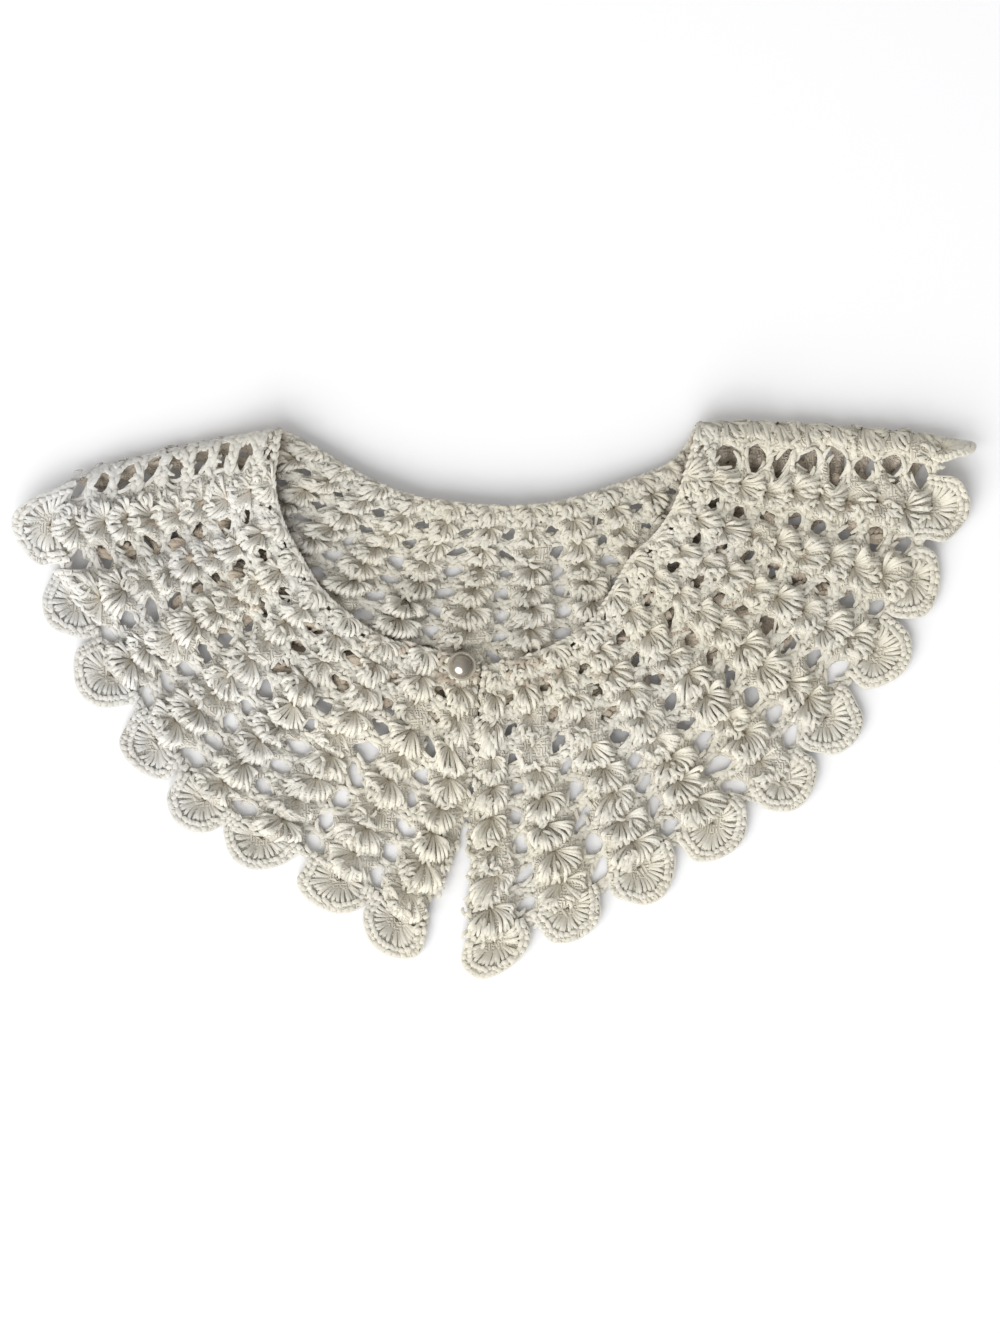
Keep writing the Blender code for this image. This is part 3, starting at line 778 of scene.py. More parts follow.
def cup(distance: Array) -> Array:
    """How far a scallop stands up at a distance from its centre: its rim curls off the table."""
    return 1.5 * ease((distance - 3) / 9)


@dataclass
class Gaps:
    """The lace's gaps: slanting ovals between neighbouring columns, one in each row.

    Attributes:
        panel: The panel that they are in.
        slit_slant: Slant of the gaps beside the front edges, whose outer ends are nearer the neck.
        slant: Usual slant, and
        slant_spread: how much it differs from gap to gap, all in degrees.
        from_left_crest: Cloth from the left shoulder's crest to the middles of the gaps beside it, and
        from_right_crest: the same on the right, in millimetres.
        fold_long: Longer half axis of the gaps beside a fold, in millimetres.
        fold_short: Their shorter half axis, as a part of the row's pitch.
        fold_corner: How far their corners stick out, as a part of the half axes.
        clearance: Strands keep this far off a gap's rim, as a part of its half axes.
        reach: Stitches make room for a gap from this many half axes on.
        unevenness: How far its rim departs from an oval, as a part of its half axes.
    """

    panel: Panel
    slit_slant: float = 36.0
    slant: float = 4.0
    slant_spread: float = 15.0
    from_left_crest: float = 8.2
    from_right_crest: float = 15.2
    fold_long: float = 4.5
    fold_short: float = 0.34
    fold_corner: float = 0.16
    clearance: float = 1.12
    reach: float = 1.8
    unevenness: float = 0.12

    def __post_init__(self) -> None:
        """Tabulates the gaps by column line and row."""
        chance = np.random.default_rng(len(self.panel.columns))
        self.lines = self.panel.gaps()
        line, row = np.meshgrid(self.lines, np.arange(ROWS), indexing="ij")
        self.across, self.down = self.panel.pitch(line.astype(float), row + GAP_PLACE)
        self.long = np.array([r.gap_long for r in SHELL_ROWS])[row] * self.across
        self.long = self.long * (1 + chance.normal(0, 0.10, row.shape))
        self.short = np.array([r.gap_short for r in SHELL_ROWS])[row]
        self.short = self.short * (1 + chance.normal(0, 0.10, row.shape))
        if self.panel.face < 0:
            self.long = 0.85 * self.long
        self.short = np.minimum(self.short, 0.26 * self.down)
        beside_fold = (np.minimum(np.abs(line - LEFT_FOLD), np.abs(line - RIGHT_FOLD)) < 1) & (
            self.panel.face > 0) & (row > 0)
        self.long = np.where(beside_fold, self.fold_long * (1 + chance.normal(0, 0.06, row.shape)), self.long)
        self.short = np.where(beside_fold, self.fold_short * self.down, self.short)
        to_left_fold = beside_fold & (line < LEFT_FOLD)
        to_right_fold = beside_fold & (line > LEFT_FOLD)
        self.middle = line.astype(float)
        self.middle[to_left_fold] = LEFT_FOLD - self.from_left_crest / self.across[to_left_fold]
        from_crest = np.minimum(self.from_right_crest / self.across, 0.85)
        self.middle[to_right_fold] = RIGHT_FOLD + from_crest[to_right_fold]
        self.corner = np.where(beside_fold, self.fold_corner, 0.0)
        self.corner_turn = np.where(to_left_fold, math.pi, 0.0)
        self.lobe_turns = chance.uniform(0, 2 * math.pi, (2,) + row.shape)
        outward = np.where(self.panel.face < 0, 0, np.where(line < LEFT_FOLD, -1, 1))
        near_slit = np.minimum(line, RIGHT_EDGE - 0.5 - line) < 2.5
        slant = np.where(near_slit, self.slit_slant, self.slant) * outward
        slant = slant + chance.normal(0, self.slant_spread, row.shape)
        self.tilt = np.radians(np.where(beside_fold, 0.5 * slant, slant))

    def offset(self, column: Array, row: Array) -> tuple[Array, ...]:
        """Where points lie in the nearest gap's own axes.

        Args:
            column: Column numbers.
            row: Row numbers.

        Returns:
            The gap's indices, and the offsets along its axes as parts of its half axes.
        """
        i = np.clip(np.round(column).astype(int) - self.lines[0], 0, len(self.lines) - 1)
        j = np.clip(np.floor(row + 0.5 - GAP_PLACE).astype(int), 0, ROWS - 1)
        x = (column - self.middle[i, j]) * self.across[i, j]
        y = (row - j - GAP_PLACE) * self.down[i, j]
        cos, sin = np.cos(self.tilt[i, j]), np.sin(self.tilt[i, j])
        x, y = (x * cos + y * sin) / self.long[i, j], (y * cos - x * sin) / self.short[i, j]
        lobes = self.lobes(i, j, np.arctan2(y, x))
        return i, j, x / lobes, y / lobes

    def lobes(self, i: Array, j: Array, angle: Array) -> Array:
        """How a gap's rim departs from an oval: waves of two and three lobes round it.

        Beside a fold it has three corners, one of them away from the crest.

        Args:
            i: Numbers of the gaps' column lines.
            j: Numbers of their rows.
            angle: Angles round the gaps.

        Returns:
            The rim's distances from the middle, where an oval's is 1.
        """
        turns = self.lobe_turns[:, i, j]
        return (1 + self.unevenness * (np.cos(2 * angle + turns[0]) + np.cos(3 * angle + turns[1]))
                + self.corner[i, j] * np.cos(3 * (angle - self.corner_turn[i, j])))

    def on_rim(self, i: Array, j: Array, angle: Array, spread: Array) -> tuple[Array, Array, Array]:
        """Cloth coordinates of points round gaps.

        Args:
            i: Numbers of the gaps' column lines.
            j: Numbers of their rows.
            angle: Angles round the gaps.
            spread: Distances from the middle, as a part of the half axes.

        Returns:
            Column numbers, row numbers, and the rim's heading in the cloth.
        """
        long, short, tilt = self.long[i, j], self.short[i, j], self.tilt[i, j]
        spread = spread * self.lobes(i, j, angle)
        x, y = long * spread * np.cos(angle), short * spread * np.sin(angle)
        heading = np.arctan2(short * np.cos(angle), -long * np.sin(angle)) + tilt
        column = self.middle[i, j] + (x * np.cos(tilt) - y * np.sin(tilt)) / self.across[i, j]
        row = j + GAP_PLACE + (x * np.sin(tilt) + y * np.cos(tilt)) / self.down[i, j]
        return column, row, heading

    def scaled(self, column: Array, row: Array, factor: Array) -> tuple[Array, Array]:
        """Points with their offsets from the nearest gap's middle multiplied by a factor.

        Args:
            column: Column numbers.
            row: Row numbers.
            factor: The factors.

        Returns:
            The new column and row numbers.
        """
        i, j, _, _ = self.offset(column, row)
        middle, height = self.middle[i, j], j + GAP_PLACE
        return middle + (column - middle) * factor, height + (row - height) * factor

    def distance(self, column: Array, row: Array) -> Array:
        """Distance from the nearest gap's middle, where 1 is its rim."""
        _, _, x, y = self.offset(column, row)
        return np.hypot(x, y)

    def settle(self, column: Array, row: Array) -> Array:
        """The part of its lift that a stitch keeps: the cloth sinks towards the table round a gap."""
        return 1 - 0.6 * (1 - ease((self.distance(column, row) - 1) / 0.9))

    def make_room(self, column: Array, row: Array) -> tuple[Array, Array]:
        """Moves stitches outwards from the gaps' middles, so that none crosses one.

        Args:
            column: Column numbers.
            row: Row numbers.

        Returns:
            The new column and row numbers.
        """
        distance = np.maximum(self.distance(column, row), 0.05)
        moved = self.clearance + (self.reach - self.clearance) * distance / self.reach
        return self.scaled(column, row, np.where(distance < self.reach, moved / distance, 1.0))


@dataclass
class Web:
    """The inner yarn of a panel, drawn as one thin closed sheet with the gaps cut through."""

    panel: Panel
    thickness: float = 0.5
    sunk: float = 0.05                    # how far its middle lies under the shells' own
    steps_across: int = 11                # grid steps in a column
    steps_down: int = 7                   # grid steps in a row
    scallop_radius: float = 12.5
    scallop_spokes: int = 24
    stand_back: float = 1.12              # the sheet's rim round a gap, as a part of the gap's half axes
    edge_inset: float = 0.09              # from a front edge to the sheet's, in columns

    def surface(self) -> Surface:
        """The closed sheet: a grid over the panel without its gaps, and a round plate for each scallop.

        Returns:
            The sheet's surface.
        """
        panel, gaps = self.panel, Gaps(self.panel)
        across = round(self.steps_across * (panel.high - panel.low)) + 1
        column, row = np.meshgrid(np.linspace(panel.low, panel.high, across),
                                  np.linspace(0, ROWS, ROWS * self.steps_down + 1), indexing="ij")
        start = LACE_START / panel.pitch(column[:, :1], row[:, :1])[1]
        row = np.where(row < 1, start + (1 - start) * row, row)
        number = np.arange(row.size).reshape(row.shape)
        faces = np.stack([number[:-1, :-1], number[1:, :-1], number[1:, 1:], number[:-1, 1:]], -1)
        faces = faces.reshape(-1, 4)
        column, row = column.ravel(), row.ravel()
        at, down = column[faces].mean(1), row[faces].mean(1)
        corner = (np.abs(at - LEFT_FOLD) < 0.35) & (down > ROWS - 0.5)
        kept = (gaps.distance(at, down) > self.stand_back) & ~corner
        rim = np.intersect1d(faces[kept], faces[~kept])
        factor = self.stand_back / np.maximum(gaps.distance(column[rim], row[rim]), 0.2)
        column[rim], row[rim] = gaps.scaled(column[rim], row[rim], factor)
        faces = faces[kept]
        cells = np.clip(np.floor(row + 1e-6).astype(int), 0, ROWS - 1)
        swell = np.array([r.swell for r in SHELL_ROWS])[cells]
        if panel.face > 0 and panel.high_fold:
            swell = np.where(column > LEFT_FOLD - 0.5, 0.0, swell)
        aside = column - (np.floor(column + 1e-6) + 0.5)
        lift = shell_lift(aside, row - cells, swell) * gaps.settle(column, row)
        # painted shade: the sheet is darkened in each shell's pin hole
        pit = np.exp(-((aside * 3) ** 2 + (row - cells) ** 2) / 0.02)
        low = panel.low + (0 if panel.low_fold else slit_inset(row, True) + self.edge_inset)
        high = panel.high - (0 if panel.high_fold else slit_inset(row, False) + self.edge_inset)
        column = np.clip(column, low, high)
        parts = [self.closed(column, row, lift - self.sunk, faces, 0.4 + 1.1 * pit)]
        parts += [self.plate(centre) for centre in panel.scallops()]
        return Surface.join(parts)

    def closed(self, column: Array, row: Array, lift: Array, faces: Array, depth: Array) -> Surface:
        """Gives a one-sided sheet its thickness: an upper and a lower skin, joined round every rim.

        Args:
            column: Column numbers.
            row: Row numbers.
            lift: Heights over the cloth's middle.
            faces: Corners of the faces.
            depth: Depth among the stitches.

        Returns:
            The closed surface.
        """
        upper, normal = self.panel.place(column, row, lift + self.thickness / 2)
        lower = upper - normal * self.thickness
        edges = np.stack([faces, np.roll(faces, -1, axis=1)], -1).reshape(-1, 2)
        _, index, uses = np.unique(np.sort(edges, axis=1), axis=0, return_index=True, return_counts=True)
        a, b = edges[index[uses == 1]].T
        shift = len(column)
        tables = [faces, (faces + shift)[:, ::-1], np.stack([b, a, a + shift, b + shift], -1)]
        if self.panel.face < 0:
            tables = [table[:, ::-1] for table in tables]
        flat = np.tile(np.stack([column * 20, row * 10], -1), (2, 1))
        both = np.tile(depth, 2)
        return Surface(np.concatenate([upper, lower]), tables, [flat[table] for table in tables],
                       np.zeros(len(both)), both)

    def plate(self, centre: float) -> Surface:
        """The inner yarn of a scallop: a thin plate, cut in half at a fold, its back sunk in the cloth.

        Args:
            centre: The column's number.

        Returns:
            The closed plate.
        """
        panel = self.panel
        shift, width, length = (float(value) for value in panel.scallop_form(np.array(centre)))
        half = 0 if shift else 1 if centre == panel.low else -1 if centre == panel.high else 0
        low, high = (-math.pi, math.pi) if half == 0 else sorted((0.0, half * math.pi))
        spokes = self.scallop_spokes if half == 0 else self.scallop_spokes // 2
        angle, ring = np.meshgrid(np.linspace(low, high, spokes + 1),
                                  np.array([0.02, 0.12, 0.3, 0.5, 0.72, 0.85, 1.0]), indexing="ij")
        distance = ring * self.scallop_radius
        across, down = panel.pitch(centre + 0.3 * np.sin(angle), np.full(angle.shape, float(ROWS)))
        column = centre + shift + width * distance * np.sin(angle) / across
        row = ROWS + length * distance * np.cos(angle) / down * np.where(np.cos(angle) < 0, 0.35, 1.0)
        outer = ease((np.cos(angle) + 0.75) / 0.45)
        lift = -0.45 + (1.1 * ease(ring / 0.4) + 0.3 * (ring > 0.8) + cup(distance)) * outer
        number = np.arange(row.size).reshape(row.shape)
        faces = np.stack([number[:-1, :-1], number[:-1, 1:], number[1:, 1:], number[1:, :-1]], -1)
        # painted shade: darkest at the scallop's pin hole in its middle
        depth = 0.25 + 1.1 * np.exp(-((ring / 0.12) ** 2))
        return self.closed(column.ravel(), row.ravel(), lift.ravel(), faces[:, :, ::-1].reshape(-1, 4),
                           depth.ravel())


@dataclass
class Crochet:
    """Draws a panel's stitches as strands of yarn: posts, bridges, curls, pillars and front edges."""

    panel: Panel
    seed: int
    yarn: float = 0.62                    # half the width of one strand
    flatness: float = 0.72                # its height as a part of its width
    pin_hole: float = 0.03                # where a shell's posts start, in rows
    first_pin_hole: float = 0.12          # and in the first row, under the edging
    fan_half_width: float = 0.37          # the oval that the posts end on: half its width, in columns,
    fan_middle: float = 0.30              # its middle, and
    fan_length: float = 0.68              # half its length, both in rows
    post_points: int = 8
    loop_points: int = 5
    post_sides: int = 4
    curl_sides: int = 4
    chance: np.random.Generator = field(init=False)

    def __post_init__(self) -> None:
        """Starts the panel's own order of chance."""
        self.chance = np.random.default_rng(self.seed)
        self.gaps = Gaps(self.panel)

    def cells(self, row: int) -> tuple[Array, Array, Array]:
        """Numbers of a row's shells, and the cloth's pitches across and down there, as 4-D arrays.

        The fronts have pillars instead of a shell on the left shoulder's crest.

        Args:
            row: The row's number.

        Returns:
            The numbers and the two pitches.
        """
        centres = self.panel.scallops() if self.panel.face > 0 else self.panel.centres()
        across, down = self.panel.pitch(centres, np.full(len(centres), row + 0.5))
        shape = (-1, 1, 1, 1)
        return centres.reshape(shape), across.reshape(shape), down.reshape(shape)

    def posts(self, row: int) -> Strands:
        """The posts of a row's shells, each of two strands.

        A post is a quadratic curve from the pin hole to the row's edge, spread by its share from -1 to 1 of
        the shell's fan. Its strands lie a quarter of the distance to the next post to either side.

        Args:
            row: The row's number.

        Returns:
            The strands.
        """
        style = SHELL_ROWS[row]
        centre, across, down = self.cells(row)
        shape = (centre.shape[0], style.posts, 1, 1)
        share = ((np.arange(style.posts) + 0.5) / style.posts * 2 - 1).reshape(1, -1, 1, 1)
        share = share + self.chance.normal(0, 0.05, shape)
        ply = np.array([-1.0, 1.0]).reshape(1, 1, 2, 1)
        part = np.linspace(0, 1, self.post_points).reshape(1, 1, 1, -1)
        fan = share + ply * 0.5 / style.posts * (0.6 + 0.4 * part)
        turn = fan * QUARTER * 1.06 + self.chance.normal(0, 0.17, (shape[0], 1, 1, 1))
        reach = 1 + self.chance.normal(0, 0.09, shape[:2] + (2, 1))
        start_x, start_y = 0.06 * fan, self.pin_hole if row else self.first_pin_hole
        control_x = 0.31 * np.sin(turn * 1.05)
        control_y = self.pin_hole + 0.44 * np.cos(turn * 1.05)
        end_x = self.fan_half_width * np.sin(turn) * reach
        end_y = self.fan_middle + self.fan_length * np.cos(turn) * reach
        weights = ((1 - part) ** 2, 2 * part * (1 - part), part**2)
        bend = self.chance.normal(0, 0.026, shape[:2] + (2, 1)) * np.sin(math.pi * part)
        x = weights[0] * start_x + weights[1] * control_x + weights[2] * end_x + bend
        y = weights[0] * start_y + weights[1] * control_y + weights[2] * end_y
        x = x + self.chance.normal(0, 0.012, (shape[0], 1, 1, 1))
        swell = style.swell * (1 + self.chance.normal(0, 0.16, (shape[0], 1, 1, 1)))
        twist = 2.5 * part + self.chance.uniform(-1.5, 1.5, shape)
        lift = shell_lift(x, np.clip(y, 0, SHELL_LENGTH), swell) + 0.42 + ply * 0.18 * np.sin(twist)
        lift = lift + self.chance.normal(0, 0.12, shape[:2] + (2, 1)) * np.sin(math.pi * part * 0.8)
        width = (0.46 + 0.66 * part) * np.sqrt(np.clip(1.05 - part**8, 0.2, 1))
        radius = self.yarn * width + 0 * x
        tone = self.chance.normal(0, 1, shape[:2] + (2, 1)) + 0 * x
        # painted shade: deepest round the pin hole, fading over the shell's inner half
        away = np.hypot(x * across, y * down)
        depth = 0.9 * np.exp(-((away / 0.9) ** 2)) + 0.5 * np.exp(-((away / 4.2) ** 2)) + 0 * part
        return self.flatten(centre + x, row + y, lift, radius, tone, depth)

    @staticmethod
    def flatten(*arrays: Array) -> Strands:
        """Arrays of any number of dimensions as strands x points."""
        arrays = np.broadcast_arrays(*arrays)
        return Strands(*(array.reshape(-1, array.shape[-1]).copy() for array in arrays))

    def curls(self, column: Array, row: Array, heading: Array, length: Array, bend: Array,
              lift: Array, thick: float = 1.0) -> Strands:
        """Short bent strands: with p from -1 to 1, pL/2 along a heading and B(1 - p^2) aside.

        Args:
            column: Column number of each curl's middle.
            row: Row number of it.
            heading: Direction in the cloth.
            length: The curls' length.
            bend: How far each bows aside.
            lift: Height of each curl's ends.
            thick: Thickness at the middle, as a part of the yarn's.

        Returns:
            The curls.
        """
        across, down = self.panel.pitch(column, row)
        part = np.linspace(-1, 1, self.loop_points)[None]
        along, aside = part * length[:, None] / 2, bend[:, None] * (1 - part**2)
        angle = heading[:, None]
        x = (along * np.cos(angle) - aside * np.sin(angle)) / across[:, None]
        y = (along * np.sin(angle) + aside * np.cos(angle)) / down[:, None]
        rise = lift[:, None] + 0.5 * (1 - part**2)
        radius = self.yarn * thick * (0.45 + 0.55 * np.sqrt(1 - 0.99 * part**2))
        tone = self.chance.normal(-0.5, 1, (len(column), 1))
        # a little painted shade towards a curl's ends
        return self.flatten(column[:, None] + x, row[:, None] + y, rise, radius, tone, 0.3 * part**2)

    def bridges(self, row: int, each: int = 30) -> Strands:
        """Curls that join neighbouring shells between one gap and the next.

        Args:
            row: The row's number.
            each: Curls for each gap.

        Returns:
            The curls.
        """
        gaps = np.repeat(self.panel.gaps().astype(float), each)
        count = len(gaps)
        aside = self.chance.uniform(-0.26, 0.26, count)
        place = 0.80 + 0.10 * (aside / 0.26) ** 2 + self.chance.normal(0, 0.10, count)
        column = gaps + aside
        heading = self.chance.uniform(-1.5, 1.6, count)
        bend = self.chance.choice([-1.0, 1.0], count) * self.chance.uniform(0.3, 0.8, count)
        return self.curls(column, row + place, heading, self.chance.uniform(2.2, 4.2, count), bend,
                          self.chance.uniform(0.0, 1.25, count), 1.1)

    def gap_rims(self, each: int = 9) -> Strands:
        """Curls that follow the rims of the gaps.

        Args:
            each: Curls for each gap.

        Returns:
            The curls.
        """
        numbers = [np.arange(many) for many in (len(self.gaps.lines), ROWS, each)]
        i, j, k = (grid.ravel() for grid in np.meshgrid(*numbers))
        count = len(i)
        angle = 2 * math.pi * (k + self.chance.uniform(0, 0.8, count)) / each
        spread = 1 + 0.40 / self.gaps.short[i, j] + self.chance.normal(0.02, 0.09, count)
        column, row, heading = self.gaps.on_rim(i, j, angle, spread)
        length = 0.9 * (self.gaps.long[i, j] + self.gaps.short[i, j]) * self.chance.uniform(0.6, 1.1, count)
        lift = np.where(k % 2 == 0, 0.8, 0.0) + self.chance.uniform(-0.3, 0.4, count)
        return self.curls(column, row, heading + self.chance.normal(0, 0.4, count), length, -0.10 * length,
                          lift, 1.1)

    def tangles(self, row: int) -> Strands:
        """Curls over the shells, mostly on the side that the light comes from.

        Args:
            row: The row's number.

        Returns:
            The curls.
        """
        style = SHELL_ROWS[row]
        centres = np.repeat(self.panel.centres(), style.curls)
        count = len(centres)
        aside = self.panel.face * np.clip(self.chance.normal(0.20, 0.15, count), -0.35, 0.42)
        place = (edge_place(aside) - 0.03) * np.sqrt(self.chance.uniform(0.12, 1.0, count))
        lift = shell_lift(aside, place, np.full(count, style.swell)) + self.chance.uniform(0.35, 0.85, count)
        bend = self.chance.choice([-1.0, 1.0], count) * self.chance.uniform(0.4, 1.1, count)
        across, down = self.panel.pitch(centres + aside, row + place)
        outward = np.arctan2(place * down, aside * across)
        return self.curls(centres + aside, row + place, outward + self.chance.normal(0, 0.55, count),
                          self.chance.uniform(2.4, 4.4, count), bend, lift)

    def pillars(self, each: int = 22) -> Strands:
        """Twisted pillars between the gaps beside the left shoulder's crest, and the band along it.

        Args:
            each: Curls in a pillar.

        Returns:
            The curls.
        """
        chance = self.chance
        row = np.repeat(np.arange(ROWS - 1) + GAP_PLACE + 0.5, each)
        count = len(row)
        across = self.panel.pitch(np.full(count, LEFT_FOLD - 0.3), row)[0]
        share, side = chance.uniform(0, 1, count), chance.choice([-1.0, 1.0], count)
        column = LEFT_FOLD - (4.5 + 9.5 * share) / across
        waist = (0.05 + 0.10 * np.abs(2 * share - 1)) * chance.uniform(0, 1.3, count)
        pillar = self.curls(column, row + side * waist, 0.45 * side, chance.uniform(3.0, 4.6, count),
                            0.3 * side, chance.uniform(0.0, 1.6, count), 1.3)
        row = chance.uniform(0.5, ROWS - 0.6, count)
        across = self.panel.pitch(np.full(count, LEFT_FOLD - 0.3), row)[0]
        band = self.curls(LEFT_FOLD - 4.6 * chance.uniform(0, 1, count) / across, row,
                          QUARTER + chance.normal(0, 0.5, count), chance.uniform(2.6, 4.2, count),
                          chance.normal(0, 0.5, count), chance.uniform(0.0, 1.4, count), 1.25)
        return Strands.join([pillar, band])

    def front_edge(self, edge: float, inward: float, each: int = 12) -> Strands:
        """The outer side of a front's last column: curls along its edge, swelling out with each shell.

        Args:
            edge: Column number of the edge's line.
            inward: Direction of the panel from there, 1 or -1.
            each: Curls in a row.

        Returns:
            The curls.
        """
        count = each * ROWS
        row = (np.arange(count) + self.chance.uniform(0.2, 0.8, count)) / each
        bulge = 0.05 * np.cos(2 * math.pi * (row - 0.55))
        aside = slit_inset(row, inward > 0) + 0.06 - bulge + self.chance.uniform(0, 0.11, count)
        column = aside * inward + edge
        bend = self.chance.choice([-1.0, 1.0], count) * self.chance.uniform(0.3, 0.9, count)
        heading = self.chance.uniform(0.6, 2.5, count)
        length = self.chance.uniform(2.0, 3.4, count)
        low, high = -0.3, 1.9 + 2.2 * ease((row - 5) / 2)
        lift = low + (high - low) * self.chance.uniform(0, 1, count)
        return self.curls(column, row, heading, length, bend, lift, 1.15)

    def stitches(self) -> dict[str, Surface]:
        """The panel's yarn in two pieces: its posts, and the curls that join and cover them.

        Returns:
            The surfaces by the names of the pieces.
        """
        posts = Strands.join([self.posts(row) for row in range(ROWS)])
        curls = [self.bridges(row) for row in range(ROWS)] + [self.tangles(row) for row in range(ROWS)]
        if not self.panel.low_fold:
            curls.append(self.front_edge(self.panel.low, 1.0))
        if not self.panel.high_fold:
            curls.append(self.front_edge(self.panel.high, -1.0))
        curls = Strands.join(curls)
        for part in (posts, curls):
            part.column, part.row = self.gaps.make_room(part.column, part.row)
            part.lift = part.lift * self.gaps.settle(part.column, part.row)
        extra = [self.gap_rims()]
        if self.panel.face > 0 and self.panel.high_fold:
            extra.append(self.pillars())
        curls = Strands.join([curls] + extra)
        return {"posts": posts.surface(self.panel, self.post_sides, self.flatness),
                "curls": curls.surface(self.panel, self.curl_sides, self.flatness, covered=False)}


@dataclass
class Scallops:
    """The round ends of a panel's columns: posts like spokes, a groove, and a rim of V stitches."""

    crochet: Crochet
    radius: float = SCALLOP_RADIUS
    half_angle: float = math.radians(106)
    posts: int = 20
    rim_width: float = 3.3
    rim_stitches: int = 21
    groove: float = 0.5

    def ring_points(self, centre: Array, angle: Array, distance: Array) -> tuple[Array, Array]:
        """Cloth coordinates of points round a scallop's centre, drawn together on a fold's crest.

        Args:
            centre: Column numbers of the centres.
            angle: Angles round them.
            distance: Distances from them.

        Returns:
            Column and row numbers.
        """
        panel = self.crochet.panel
        across, down = panel.pitch(centre + 0.3 * np.sin(angle), np.full(centre.shape, float(ROWS)))
        shift, width, length = panel.scallop_form(centre)
        aside = shift + width * distance * np.sin(angle) / across
        return centre + aside, ROWS + length * distance * np.cos(angle) / down

    def spokes(self) -> Strands:
        """The posts, from the pin hole to the groove inside the rim, their ends round and raised.

        Returns:
            The strands.
        """
        make = self.crochet
        centre = make.panel.scallops().reshape(-1, 1, 1)
        shape = (centre.shape[0], self.posts, 1)
        share = ((np.arange(self.posts) + 0.5) / self.posts * 2 - 1).reshape(1, -1, 1)
        part = np.linspace(0, 1, make.post_points).reshape(1, 1, -1)
        bend = make.chance.normal(0, 0.06, shape) * np.sin(math.pi * part)
        angle = self.half_angle * (share + make.chance.normal(0, 0.015, shape)) + bend
        end = self.radius - self.rim_width - self.groove + make.chance.normal(0, 0.35, shape)
        distance = 1.0 + (end - 1.0) * part + 0 * angle
        column, row = self.ring_points(centre + 0 * angle, angle, distance)
        lift = -0.5 + 2.0 * ease(part / 0.8) * (1 - 0.3 * ease((part - 0.85) / 0.15)) + cup(distance)
        lift = lift + make.chance.normal(0, 0.2, shape) * part
        width = (0.42 + 0.80 * part) * np.sqrt(np.clip(1.08 - part**8, 0.2, 1))
        # painted shade on the spokes' inner parts, deepest at the pin hole
        depth = 0.45 * np.exp(-((part / 0.15) ** 2)) + 0.5 * np.exp(-((part / 0.45) ** 2))
        return make.flatten(column, row, lift, make.yarn * width, make.chance.normal(0, 1, shape), depth)

    def rim(self) -> Strands:
        """The V stitches: an outer and an inner leg each, which meet half way into the next stitch.

        Returns:
            The strands.
        """
        make = self.crochet
        centre, share = (grid.ravel() for grid in np.meshgrid(
            make.panel.scallops(), (np.arange(self.rim_stitches) + 0.5) / self.rim_stitches * 2 - 1))
        _, width, height = make.panel.scallop_form(centre)
        middle = self.radius - self.rim_width / 2
        pitch = 2 * self.half_angle * middle / self.rim_stitches
        legs = []
        for side in (-1.0, 1.0):
            angle = share * self.half_angle + make.chance.normal(0, 0.03, len(share))
            distance = middle - 0.55 + side * self.rim_width * 0.22 + make.chance.normal(0, 0.12, len(share))
            column, row = self.ring_points(centre, angle, distance)
            slope = 0.42 * side + make.chance.normal(0, 0.15, len(share))
            length = pitch * make.chance.uniform(1.1, 1.6, len(share)) * np.sqrt(width * height)
            heading = np.arctan2(-height * np.sin(angle), width * np.cos(angle))
            legs.append(make.curls(column, row, heading + slope, length,
                                   0.25 * side + make.chance.normal(0, 0.12, len(share)),
                                   cup(distance) + 0.6 - 0.2 * side + make.chance.normal(0, 0.15, len(share)),
                                   1.25))
        return Strands.join(legs)

    def cord(self) -> Strands:
        """One plain strand that bounds each scallop, low on its outer side.

        Returns:
            The strands.
        """
        make = self.crochet
        centre = make.panel.scallops()[:, None]
        angle = np.linspace(-self.half_angle, self.half_angle, 36)[None] + 0 * centre
        column, row = self.ring_points(centre + 0 * angle, angle, np.full(angle.shape, self.radius - 0.8))
        return make.flatten(column, row, 0.45 + cup(self.radius), 1.3 * make.yarn, 0.0, 0.0)

    def surface(self) -> Surface:
        """Spokes, rim and cord.

        Returns:
            Their surface.
        """
        make = self.crochet
        parts = ((self.spokes(), make.post_sides), (self.rim(), make.curl_sides),
                 (self.cord(), make.post_sides))
        return Surface.join([part.surface(make.panel, sides, make.flatness) for part, sides in parts])


